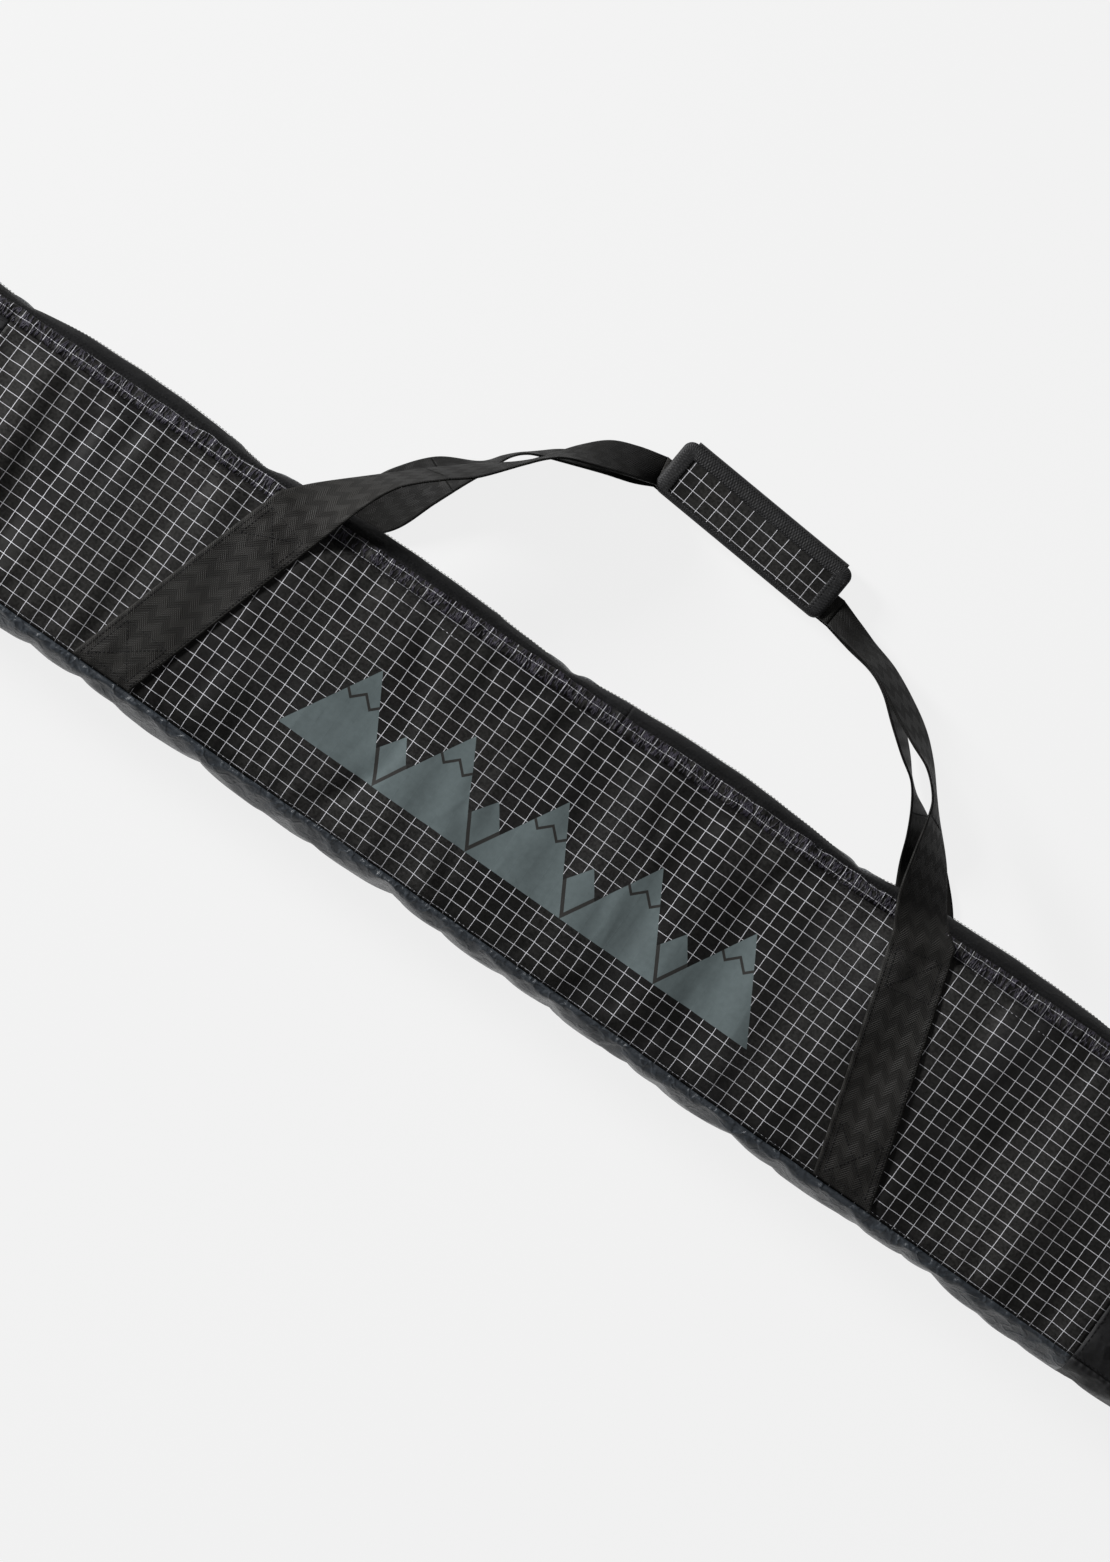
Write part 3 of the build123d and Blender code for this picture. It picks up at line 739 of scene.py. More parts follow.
def make_ridge_group():
    net, given, result = new_group("Ridge Band", [("Cloth", "Vector"), ("Low X", "Float"), ("High X", "Float"),
                                                  ("Low Y", "Float"), ("High Y", "Float"), ("Peaks", "Float")],
                                   [("Mask", "Float"), ("Line", "Float")])
    x, y, _ = net.split(given["Cloth"])
    share, level = (
        net.math("DIVIDE", net.math("SUBTRACT", at, given[low]), net.math("SUBTRACT", given[high], given[low]))
        for at, low, high in ((x, "Low X", "High X"), (y, "Low Y", "High Y")))
    place = net.math("FRACT", net.math("MULTIPLY", share, given["Peaks"]))
    beside = net.math("FRACT", net.math("ADD", net.math("MULTIPLY", share, given["Peaks"]), 0.5))
    tall = net.math("MULTIPLY_ADD", net.math("ABSOLUTE", net.math("SUBTRACT", place, 0.5)), -2.0, 1.0)
    small = net.math("MULTIPLY_ADD", net.math("ABSOLUTE", net.math("SUBTRACT", beside, 0.5)), -1.6, 0.60)
    soft = 0.008
    under_tall = net.steps(net.math("SUBTRACT", tall, level), 0.0, soft)
    under_small = net.steps(net.math("SUBTRACT", small, level), 0.0, soft)
    edge = net.math("ABSOLUTE", net.math("ADD", net.math("SUBTRACT", tall, level), 0.035))
    apart = net.steps(edge, 0.034, 0.042)
    cap = net.math("MULTIPLY_ADD", net.math("PINGPONG", place, 0.1), 1.1, 0.60)
    snow = net.steps(net.math("ABSOLUTE", net.math("SUBTRACT", level, cap)), 0.016, 0.022)
    half_cell = net.math("DIVIDE", 0.5, given["Peaks"])
    inside = net.math("MULTIPLY", net.math("GREATER_THAN", share, half_cell),
                      net.math("LESS_THAN", share, net.math("SUBTRACT", 1.0, half_cell)))
    under_small = net.math("MULTIPLY", under_small, inside)
    peaks = net.math("MAXIMUM", under_tall, under_small)
    for value, low, high in ((share, 0.0, 1.0), (level, 0.0, 1.0)):
        peaks = net.math("MULTIPLY", peaks, net.steps(value, low, low + 0.002))
        peaks = net.math("MULTIPLY", peaks, net.steps(value, high, high - 0.002))
    net.put(result["Mask"], peaks)
    lines = net.math("MULTIPLY", net.math("SUBTRACT", 1.0, snow), under_tall)
    net.put(result["Line"], net.math("MAXIMUM", lines, net.math("SUBTRACT", 1.0, apart)))
    return net.tree


def make_rib_group():
    net, given, result = new_group("Ribs", [("Cloth", "Vector"), ("Pitch", "Float")], [("Height", "Float")])
    x = net.split(given["Cloth"])[0]
    wave = net.math("SINE", net.math("DIVIDE", net.math("MULTIPLY", x, 2 * math.pi), given["Pitch"]))
    net.put(result["Height"], net.math("MULTIPLY_ADD", wave, 0.5, 0.5))
    return net.tree


group_makers = (make_grid_group, make_weave_group, make_crease_group, make_lint_group, make_herringbone_group,
                make_ridge_group, make_rib_group)


def groups():
    """The shared shader groups, by name."""
    if not any(tree.name == "Ripstop Grid" for tree in bpy.data.node_groups):
        for maker in group_makers:
            maker()
    return bpy.data.node_groups


def finish(name, roughness, specular=0.5, sheen=0.0):
    """A new material: its net, its Principled shader and the cloth and place coordinates."""
    known = bpy.data.materials.get(name)
    if known:
        bpy.data.materials.remove(known)
    material = bpy.data.materials.new(name)
    material.use_nodes = True
    material.node_tree.nodes.clear()
    net = Net(material.node_tree)
    shader = net.node("ShaderNodeBsdfPrincipled", {"Roughness": roughness, "Specular IOR Level": specular,
                                                   "Sheen Weight": sheen, "Sheen Roughness": 0.45})
    net.node("ShaderNodeOutputMaterial", {"Surface": shader.outputs["BSDF"]})
    cloth = net.node("ShaderNodeUVMap", uv_map=UV_NAME).outputs["UV"]
    place = net.node("ShaderNodeTexCoord").outputs["Object"]
    return material, net, shader, cloth, place


def shade(tint, share=1.0):
    """A colour made lighter or darker, for a shader's socket."""
    return (*(min(1.0, part * share) for part in tint), 1.0)


def ripstop_finish(name, printed=False, puckered=False):
    """Black ripstop with its white grid, with the ridge band on it if printed."""
    scene = bpy.context.scene
    sizes, colours, band = scene.bag_cloth, scene.bag_colours, scene.bag_print
    material, net, shader, cloth, place = finish(name, 0.55, 0.08)
    grid = net.group("Ripstop Grid", Cloth=cloth, Along=sizes.grid_along, Across=sizes.grid_across,
                     Yarn=sizes.yarn_width)
    weave = net.group("Plain Weave", Cloth=cloth, Pitch=0.42 * MM)
    crease = net.group("Soft Creases", Place=place, Size=46.0 if puckered else 15.0,
                       Stretch=(2.4, 0.8, 0.8) if puckered else (1.0, 0.3, 1.0),
                       Sharpness=0.35 if puckered else 0.03)
    lint = net.group("Lint", Place=place, Amount=0.10)
    ground = net.mix(weave["Tone"], shade(colours.ground, 0.55), shade(colours.ground, 1.5))
    # Painted shade: the ground is darkened, down to a quarter of its colour, where the crease height is low,
    # so the soft fold bands read as shaded hollows.
    painted_fold_shade = net.steps(crease["Height"], 0.62, 0.38)
    ground = net.mix(net.math("MULTIPLY", painted_fold_shade, 0.75), ground, shade(colours.ground, 0.25))
    # Painted sheen: a purple-grey highlight is painted along the crease ridges of the puckered cloth.
    if puckered:
        ground = net.mix(net.math("MULTIPLY", crease["Ridge"], 0.5), ground, (0.040, 0.036, 0.055, 1.0))
    yarn = net.math("MULTIPLY", grid["Yarn Mask"], 0.62 if puckered else 0.9)
    base = net.mix(yarn, ground, shade(colours.yarn))
    roughness = net.math("MULTIPLY_ADD", weave["Tone"], 0.10, 0.40 if puckered else 0.48)
    height = net.math("MULTIPLY_ADD", grid["Yarn Mask"], 0.9, net.math("MULTIPLY", weave["Height"], 0.5))
    if printed:
        ridges = net.group("Ridge Band", Cloth=cloth, Low_X=band.low[0], High_X=band.high[0],
                           Low_Y=band.low[1], High_Y=band.high[1], Peaks=float(band.peaks))
        broad_cloud = net.math("MULTIPLY", net.noise(place, 26.0, 3.0), 0.6)
        cloud = net.math("MULTIPLY_ADD", net.noise(place, 240.0, 3.0), 0.4, broad_cloud)
        film = net.mix(cloud, shade(colours.print_film, 0.62), shade(colours.print_film, 1.38))
        film = net.mix(ridges["Line"], film, shade(colours.ground, 1.6))
        base = net.mix(ridges["Mask"], base, film)
        roughness = net.math("MULTIPLY_ADD", ridges["Mask"], -0.06, roughness)
        height = net.math("MULTIPLY", height, net.math("MULTIPLY_ADD", ridges["Mask"], -0.75, 1.0))
    base = net.mix(lint["Mask"], base, (0.16, 0.16, 0.17, 1.0))
    net.put(shader.inputs["Base Color"], base)
    net.put(shader.inputs["Roughness"], roughness)
    folds = net.bump(crease["Height"], 4.5 * MM, 0.8)
    net.put(shader.inputs["Normal"], net.bump(height, 0.16 * MM, 0.7, folds))
    return material


def woven_finish(name, tint, roughness, pitch, creases=20.0, crease_depth=1.5, specular=0.2, sheen=0.0,
                 lint=0.08, ribs=0.0):
    """A plain woven cloth or tape; a pitch below 0 goes by place, and ribs gives the spacing of ribs."""
    material, net, shader, cloth, place = finish(name, roughness, specular, sheen)
    weave = net.group("Plain Weave", Cloth=place if pitch < 0 else cloth, Pitch=abs(pitch))
    crease = net.group("Soft Creases", Place=place, Size=creases, Stretch=(1.0, 1.0, 1.0), Sharpness=0.25)
    dust = net.group("Lint", Place=place, Amount=lint)
    base = net.mix(weave["Tone"], shade(tint, 0.8), shade(tint, 1.2))
    # Painted highlight: the colour is lightened along the crease ridges, as if they caught the light.
    base = net.mix(net.math("MULTIPLY", crease["Ridge"], 0.35), base, shade(tint, 1.7))
    base = net.mix(dust["Mask"], base, (0.15, 0.15, 0.16, 1.0))
    net.put(shader.inputs["Base Color"], base)
    net.put(shader.inputs["Roughness"], net.math("MULTIPLY_ADD", weave["Tone"], 0.12, roughness - 0.06))
    height = weave["Height"]
    distance = abs(pitch) * 0.3
    if ribs:
        rib = net.group("Ribs", Cloth=cloth, Pitch=ribs)
        height = net.math("MULTIPLY_ADD", rib["Height"], 2.5, height)
    folds = net.bump(crease["Height"], crease_depth * MM, 0.7)
    net.put(shader.inputs["Normal"], net.bump(height, distance, 0.8, folds))
    return material


def webbing_finish(name, tint, patterned):
    """Woven webbing: a herringbone with broad tonal chevrons, or plain ribs."""
    material, net, shader, cloth, place = finish(name, 0.62, 0.10)
    pattern = net.group("Herringbone Webbing", Cloth=cloth, Pitch=(2.0 if patterned else 1.6) * MM,
                        Column=(6.3 if patterned else 3.1) * MM)
    weave = net.group("Plain Weave", Cloth=cloth, Pitch=0.9 * MM)
    dust = net.group("Lint", Place=place, Amount=0.10)
    strength = 0.5 if patterned else 0.3
    base = net.mix(net.math("MULTIPLY", pattern["Tone"], strength), shade(tint, 0.72), shade(tint, 1.75))
    # Painted shade: the webbing is darkened to about a quarter of its colour from 0.19 m to 0.32 m along its
    # run, so the loop legs that rise off the bag read as shaded.
    base = net.mix(net.steps(net.split(cloth)[0], 0.19, 0.32), base, shade(tint, 0.24))
    base = net.mix(dust["Mask"], base, (0.12, 0.12, 0.12, 1.0))
    net.put(shader.inputs["Base Color"], base)
    net.put(shader.inputs["Roughness"], net.math("MULTIPLY_ADD", pattern["Tone"], -0.16, 0.70))
    height = net.math("MULTIPLY_ADD", weave["Height"], 0.4, pattern["Height"])
    net.put(shader.inputs["Normal"], net.bump(height, (0.45 if patterned else 0.25) * MM, 0.9))
    return material


def moulded_finish(name, tint, roughness, metallic=0.0, grain=500.0):
    """Moulded rubber, plastic or cast metal with a fine grain."""
    material, net, shader, cloth, place = finish(name, roughness, 0.5)
    shader.inputs["Metallic"].default_value = metallic
    speck = net.noise(place, grain, 3.0)
    rub = net.group("Lint", Place=place, Amount=0.3)
    base = net.mix(speck, shade(tint, 0.85), shade(tint, 1.2))
    base = net.mix(rub["Mask"], base, shade([part + 0.01 for part in tint], 2.0))
    net.put(shader.inputs["Base Color"], base)
    net.put(shader.inputs["Roughness"], net.math("MULTIPLY_ADD", speck, 0.2, roughness - 0.1))
    net.put(shader.inputs["Normal"], net.bump(speck, 0.05 * MM, 0.5))
    return material


finishes = {}


def make_finishes():
    """Every finish the bag uses, by name."""
    tints = bpy.context.scene.bag_colours
    finishes.update(
        front=ripstop_finish("Printed ripstop", printed=True),
        gusset=ripstop_finish("Puckered ripstop", puckered=True),
        wrap=ripstop_finish("Wrap ripstop"),
        plain=woven_finish("End cloth", tints.plain, 0.62, 0.5 * MM, 22.0, 2.0),
        ribbed=woven_finish("Ribbed end gusset", tints.plain, 0.5, 0.6 * MM, 22.0, 1.5, ribs=6.0 * MM),
        coated=woven_finish("Coated cloth", tints.coated, 0.36, 0.4 * MM, 34.0, 3.0, specular=0.35),
        lining=woven_finish("Lining", (0.055, 0.056, 0.06), 0.6, 0.45 * MM, 18.0, 3.0),
        foam=woven_finish("Foam", (0.050, 0.050, 0.052), 0.9, 1.2 * MM, 30.0, 0.6, lint=0.0),
        tape=woven_finish("Zip tape", (0.0042, 0.0042, 0.0045), 0.6, 0.7 * MM, 30.0, 1.0, specular=0.1),
        binding=woven_finish("Binding tape", (0.011, 0.011, 0.0115), 0.6, 1.1 * MM, 60.0, 0.6),
        webbing=webbing_finish("Front webbing", tints.webbing, True),
        back_webbing=webbing_finish("Back webbing", shade(tints.webbing, 0.75)[:3], False),
        coil=moulded_finish("Zip coil", (0.012, 0.012, 0.013), 0.35),
        metal=moulded_finish("Slider metal", (0.10, 0.10, 0.105), 0.35, metallic=1.0, grain=300.0),
        tab=woven_finish("Zip tab", (0.008, 0.008, 0.0085), 0.45, -0.7 * MM, 30.0, 1.0),
        rubber=moulded_finish("Pull rubber", (0.014, 0.014, 0.015), 0.6),
        thread=woven_finish("Thread", (0.008, 0.008, 0.009), 0.75, -0.3 * MM, 60.0, 0.1, specular=0.1),
        hook=woven_finish("Hook tape", (0.012, 0.012, 0.012), 0.8, -0.9 * MM, 200.0, 0.8),
        loop=woven_finish("Loop tape", (0.020, 0.020, 0.020), 0.95, -0.5 * MM, 300.0, 0.8, sheen=0.4),
    )


# Pieces ---------------------------------------------------------------------------------------------------


class Surface:
    """The finished outer cloth, to lay straps and stitches on."""

    def __init__(self, shell):
        self.tree = BVHTree.FromPolygons([tuple(p) for p in shell.points], shell.faces)

    def above(self, x, y):
        """The point of the cloth seen from straight above, or None."""
        return self.tree.ray_cast(Vector((x, y, 0.2)), Vector((0, 0, -1)))[0]


def smooth_line(points, spacing):
    """Even points along a smooth curve through the given ones."""
    points = [Vector(p) for p in points]
    ends = [points[0] * 2 - points[1]] + points + [points[-1] * 2 - points[-2]]
    dense = []
    for p0, p1, p2, p3 in zip(ends, ends[1:], ends[2:], ends[3:]):
        for i in range(12):
            t = i / 12
            dense.append(0.5 * (2 * p1 + (p2 - p0) * t + (2 * p0 - 5 * p1 + 4 * p2 - p3) * t * t
                                + (3 * p1 - p0 - 3 * p2 + p3) * t ** 3))
    dense.append(points[-1])
    return even_line(dense, spacing)


def even_line(points, spacing):
    """Points at an even spacing along a line of points."""
    travel = [0.0]
    for a, b in zip(points, points[1:]):
        travel.append(travel[-1] + (b - a).length)
    count = max(1, round(travel[-1] / spacing))
    line, at = [], 0
    for number in range(count + 1):
        goal = travel[-1] * number / count
        while at < len(travel) - 2 and travel[at + 1] < goal:
            at += 1
        span = travel[at + 1] - travel[at]
        share = 0.0 if span == 0 else (goal - travel[at]) / span
        line.append(points[at].lerp(points[at + 1], min(1.0, share)))
    return line


def stitch_line(points, facing, length=2.3 * MM, gap=0.9 * MM, thick=0.45 * MM):
    """Short raised stitches along a line: their points, faces and cloth coordinates."""
    spacing = 1.0 * MM
    line = even_line([Vector(p) for p in points], spacing)
    step = max(2, round((length + gap) / spacing))
    reach = max(1, round(length / spacing))
    up = Vector(facing).normalized()
    # Along one stitch: how far along, how high and how wide
    sections = ((0.0, -0.5, 0.5), (0.2, 0.7, 1.0), (0.5, 1.0, 1.05), (0.8, 0.7, 1.0), (1.0, -0.5, 0.5))
    parts = []
    for start in range(0, len(line) - reach, step):
        a, b = line[start], line[start + reach]
        way = (b - a).normalized()
        side = way.cross(up).normalized() * thick * 0.5
        lift = up * thick * 0.55
        points_here, faces = [], []
        for share, height, width in sections:
            centre = a.lerp(b, share)
            points_here += [centre - side * width, centre - side * width * 0.6 + lift * height,
                            centre + side * width * 0.6 + lift * height, centre + side * width]
        for row in range(4):
            for col in range(3):
                base = row * 4 + col
                faces.append((base, base + 4, base + 5, base + 1))
        parts.append((points_here, faces, [(p.x, p.y) for p in points_here]))
    return join_parts(parts)


def ribbon_points(left, right, bow, start, across=8):
    """A ribbon between two edge lines: points, faces and cloth coordinates; bow lifts its middle."""
    points, faces, uvs = [], [], []
    run = start
    for number, (a, b) in enumerate(zip(left, right)):
        if number:
            run += ((a + b) / 2 - (left[number - 1] + right[number - 1]) / 2).length
        width = (b - a).length
        ahead = min(number + 1, len(left) - 1)
        behind = max(number - 1, 0)
        way = (left[ahead] + right[ahead] - left[behind] - right[behind]).normalized()
        up = (b - a).cross(way).normalized()
        for col in range(across + 1):
            share = col / across
            points.append(a.lerp(b, share) + up * bow * math.sin(math.pi * share))
            uvs.append((run, (share - 0.5) * width))
    wide = across + 1
    for row in range(len(left) - 1):
        for col in range(across):
            base = row * wide + col
            faces.append((base, base + wide, base + wide + 1, base + 1))
    return points, faces, uvs


class SKIBAG_OT_stage(bpy.types.Operator):
    """Sets the floor, the soft lights and the camera"""

    bl_idname = "skibag.stage"
    bl_label = "Stage"

    def execute(self, context):
        scene = context.scene
        scene.view_settings.view_transform = "Standard"
        scene.view_settings.look = "None"
        world = bpy.data.worlds.new("Soft room")
        world.use_nodes = True
        sky = world.node_tree.nodes["Background"]
        sky.inputs["Color"].default_value = (1.0, 1.0, 1.0, 1.0)
        sky.inputs["Strength"].default_value = 0.11
        scene.world = world
        reach, below = 30.0, -0.8 * MM
        corners = [(-reach, -reach, below), (reach, -reach, below), (reach, reach, below),
                   (-reach, reach, below)]
        floor = new_mesh("floor", corners, [(0, 1, 2, 3)], smooth=False)
        paper, net, shader, _, place = finish("Pale floor", 0.9, 0.1)
        tone = net.noise(place, 2.0, 2.0)
        net.put(shader.inputs["Base Color"], net.mix(tone, (0.040, 0.040, 0.040, 1), (0.043, 0.043, 0.043, 1)))
        shader.inputs["Emission Color"].default_value = (1.0, 1.0, 1.0, 1.0)
        shader.inputs["Emission Strength"].default_value = 0.835
        floor.data.materials.append(paper)
        for name, place, power, size in (
            ("Key", Vector((-4.6, 0.9, 2.2)), 600.0, 1.2),
            ("Fill", Vector((2.4, -1.5, 3.2)), 10.0, 2.6),
            ("Top", Vector((0.2, 1.6, 3.8)), 10.0, 2.4),
        ):
            light = bpy.data.lights.new(name, "AREA")
            light.energy = power
            light.size = size
            lamp = bpy.data.objects.new(name, light)
            lamp.location = place
            lamp.rotation_euler = (Vector((0, 0.05, 0.05)) - place).to_track_quat("-Z", "Y").to_euler()
            scene.collection.objects.link(lamp)
        lens = bpy.data.cameras.new("Camera")
        lens.lens = 130.0
        lens.sensor_width = 36.0
        lens.clip_end = 100.0
        camera = bpy.data.objects.new("Camera", lens)
        seen_height = 1.145
        distance = seen_height * lens.lens / lens.sensor_width
        camera.location = (-0.016, 0.031, front_z + distance)
        camera.rotation_euler = (0.0, 0.0, math.radians(35.1))
        scene.collection.objects.link(camera)
        scene.camera = camera
        return {"FINISHED"}


class SKIBAG_OT_shell(bpy.types.Operator):
    """Makes the outer cloth: front panel, ends, gussets and zip edge"""

    bl_idname = "skibag.shell"
    bl_label = "Outer cloth"

    def execute(self, context):
        make_finishes()
        shell = Shell(context.scene.bag_cloth.mesh_step)
        simulate(shell)
        fold_front(shell)
        gather_zip_strip(shell)
        press_seams(shell)
        bags_made["shell"] = shell
        bags_made["surface"] = Surface(shell)
        thickness = 1.3 * MM
        for label, name_of_finish, slot in (
            ("front_panel", "front", "grid_cloth"),
            ("tail_end_front", "plain", "plain_cloth"),
            ("tip_end_front", "plain", "plain_cloth"),
            ("bottom_gusset", "coated", "coated_cloth"),
            ("tail_end_gusset", "ribbed", "plain_cloth"),
            ("tip_end_gusset", "ribbed", "plain_cloth"),
        ):
            piece = thicken(shell.cut(label, f"outer_{label}"), thickness)
            dress(piece, finishes[name_of_finish], "bag", [label])
        gusset_looks = {"front": ("gusset", "grid_cloth"), "back": ("coated", "coated_cloth")}
        for half, sign in (("tail", -1), ("tip", 1)):
            for edge, (name_of_finish, slot) in gusset_looks.items():
                place = f"{edge}_{half}"
                gusset = thicken(shell.cut(f"top_gusset_{place}", f"outer_top_gusset_{place}"), thickness)
                band = thicken(shell.cut(f"zip_tape_{place}", f"outer_zip_tape_{place}"), 0.9 * MM)
                dress(gusset, finishes[name_of_finish])
                dress(band, finishes["tape"])
                stitches = self.tape_stitches(shell, edge, half, sign)
                dress(stitches, finishes["thread"])
                for piece in (gusset, band, stitches):
                    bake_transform(piece)
                if sign < 0:
                    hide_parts(f"top_gusset_{edge}")
                    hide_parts(f"zip_tape_{edge}")
                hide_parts(f"zip_tape_{half}")
        return {"FINISHED"}

    def tape_stitches(self, shell, edge, half, sign):
        """Two rows of stitches that hold one length of tape to its gusset."""
        border = front_tape_row if edge == "front" else back_tape_row
        toward_zip = 1 if edge == "front" else -1
        parts = []
        for share in (0.35, 1.0):
            line = []
            for at, beside in zip(shell.ring[border], shell.ring[border + toward_zip]):
                p = shell.points[at].lerp(shell.points[beside], share)
                if p.y > 0 and zip_tail_x < p.x < zip_tip_x and p.x * sign >= 0:
                    line.append(p + zip_out * 0.25 * MM + Vector((0, 0, 0.15 * MM * toward_zip)))
            facing = zip_out + Vector((0, 0, 0.6 * toward_zip))
            parts.append(stitch_line(line, facing, 2.4 * MM, 1.0 * MM, 0.5 * MM))
        return new_mesh(f"stitches_zip_tape_{edge}_{half}", *join_parts(parts))


class SKIBAG_OT_back(bpy.types.Operator):
    """Makes the back panel that the bag lies on"""

    bl_idname = "skibag.back"
    bl_label = "Back panel"

    def execute(self, context):
        shell = bags_made["shell"]
        last = shell.ring[-1]
        around = shell.loop()
        bottom = [shell.points[i] for i, (_, _, side, _) in zip(last, around) if side == "bottom"]
        top = [shell.points[i] for i, (_, _, side, _) in zip(last, around) if side == "top"][::-1]
        rows = 34
        points, faces, uvs = [], [], []
        for low, high in zip(bottom, top):
            for row in range(rows + 1):
                at = low.lerp(high, row / rows)
                inside = min(at.y - low.y, high.y - at.y, half_length - back_step_end - abs(at.x) + 1 * MM)
                rise = 1 - math.exp(-max(0.0, inside) / (8 * MM))
                sag = 0.35 + 0.25 * noise.noise(Vector((at.x * 14, at.y * 9, 3.0)))
                z = back_seam_z * (1 - rise * (1 - sag))
                points.append(Vector((at.x, at.y, max(z, 1.9 * MM))))
                uvs.append((at.x, at.y))
        for column in range(len(bottom) - 1):
            for row in range(rows):
                base = column * (rows + 1) + row
                faces.append((base, base + 1, base + rows + 2, base + rows + 1))
        piece = new_mesh("outer_back_panel", points, faces, uvs)
        piece = thicken(piece, 1.3 * MM)
        dress(piece, finishes["coated"], "bag", ["back_panel"])
        return {"FINISHED"}


# Straps and carrying loops. Each station of a loop gives the two edges of the webbing, outer and inner, as
# (x, y, height) in millimetres, from the strap's head on the tail side to the hand wrap, and from the hand
# wrap to the strap's head on the tip side. The webbing lies flat on the bag, twists onto its edge where it
# turns along the arch, and is folded in half inside the wrap.
front_loop_tail = (
    ((-304, 88, 86), (-257.5, 74.5, 91.5)),
    ((-287, 108, 70), (-246, 113, 93)),
    ((-257, 137, 54), (-233, 141, 91)),
    ((-226, 166, 44), (-209, 165, 88)),
    ((-197, 191, 38), (-190, 181, 86)),
    ((-172, 211, 34), (-168, 208, 82)),
    ((-157, 229, 31), (-156, 222, 77)),
    ((-144, 246, 27), (-144, 231, 70)),
    ((-128, 262, 20), (-121, 240, 57)),
    ((-108, 271, 13), (-97, 249, 36)),
    ((-86, 277, 10.5), (-82, 254.6, 16)),
)
front_loop_tip = (
    ((84, 265, 10.5), (83, 243, 16)),
    ((117, 253, 13), (109, 238, 36)),
    ((143, 245, 20), (130, 232, 57)),
    ((169, 232, 27), (164, 214, 70)),
    ((189, 219, 33), (184, 204, 78)),
    ((206, 203, 37), (202, 195.6, 83)),
    ((221, 185, 41), (217, 181, 86)),
    ((233, 171, 45), (223, 166.6, 88)),
    ((257, 145, 54), (229, 140, 91)),
    ((278, 114, 70), (237, 109, 93)),
    ((296, 97, 86), (249, 84, 91.5)),
)
back_loop_tail = (
    ((-296, 105, 1.9), (-249, 90, 1.9)),
    ((-268, 121, 2.5), (-222, 115, 8)),
    ((-250, 152, 2.5), (-208, 148, 18)),
    ((-228, 178, 3), (-196.5, 174.5, 30)),
    ((-199, 194, 4), (-187.5, 193, 38)),
    ((-187, 208, 4), (-182, 207, 41)),
    ((-177, 217.5, 4), (-173, 217, 41)),
    ((-167, 226, 4), (-161, 223, 38)),
    ((-155, 236, 3.5), (-146, 229, 30)),
    ((-130, 252, 3.5), (-119, 239, 18)),
    ((-108, 268, 4.5), (-97, 246, 11)),
    ((-86, 277, 6.2), (-82, 253, 8.5)),
)
back_loop_tip = (
    ((84, 265, 6.2), (83, 242, 8.5)),
    ((114, 255, 4.5), (106, 237, 11)),
    ((140, 244, 3.5), (129, 233, 18)),
    ((160, 228, 3.5), (146, 224.5, 30)),
    ((176, 213, 4), (164, 209.5, 36)),
    ((190, 199, 4), (184, 194, 39)),
    ((206, 181, 4), (200, 183, 39)),
    ((226, 170, 3), (211, 168, 36)),
    ((250, 155, 2.5), (221, 149, 26)),
    ((276, 131, 2.5), (230, 127, 12)),
    ((292, 112, 1.9), (245, 98, 1.9)),
)
root_end_y = 0.163
strap_cells = 12


def loop_edges(stations, spacing=3.0 * MM):
    """The two edge lines of one leg of a loop, with as many points in each."""
    outer = smooth_line([Vector(a) * MM for a, _ in stations], 1 * MM)
    inner = smooth_line([Vector(b) * MM for _, b in stations], 1 * MM)
    count = max(8, round(len(outer) * MM / spacing))
    lines = []
    for line in (outer, inner):
        lines.append([line[min(len(line) - 1, round((len(line) - 1) * i / count))] for i in range(count + 1)])
    return lines


def cut_edges(edges, heading):
    """Parts a leg's edge lines at the root's end: (root, rest), both sharing the cut."""
    outer, inner = edges
    numbers = range(len(outer))
    if heading > 0:
        cut = next(i for i in numbers if min(outer[i].y, inner[i].y) > root_end_y)
        return (outer[:cut + 1], inner[:cut + 1]), (outer[cut:], inner[cut:])
    cut = next(i for i in reversed(numbers) if min(outer[i].y, inner[i].y) > root_end_y)
    return (outer[cut:], inner[cut:]), (outer[:cut + 1], inner[:cut + 1])


def webbing_piece(name, edges, material, start=0.0, thick=1.6 * MM):
    """A length of webbing between two edge lines, bowed a little across its width."""
    piece = new_mesh(name, *ribbon_points(*edges, bow=0.6 * MM, start=start))
    thicken(piece, thick, offset=0.0)
    return dress(piece, finishes[material])


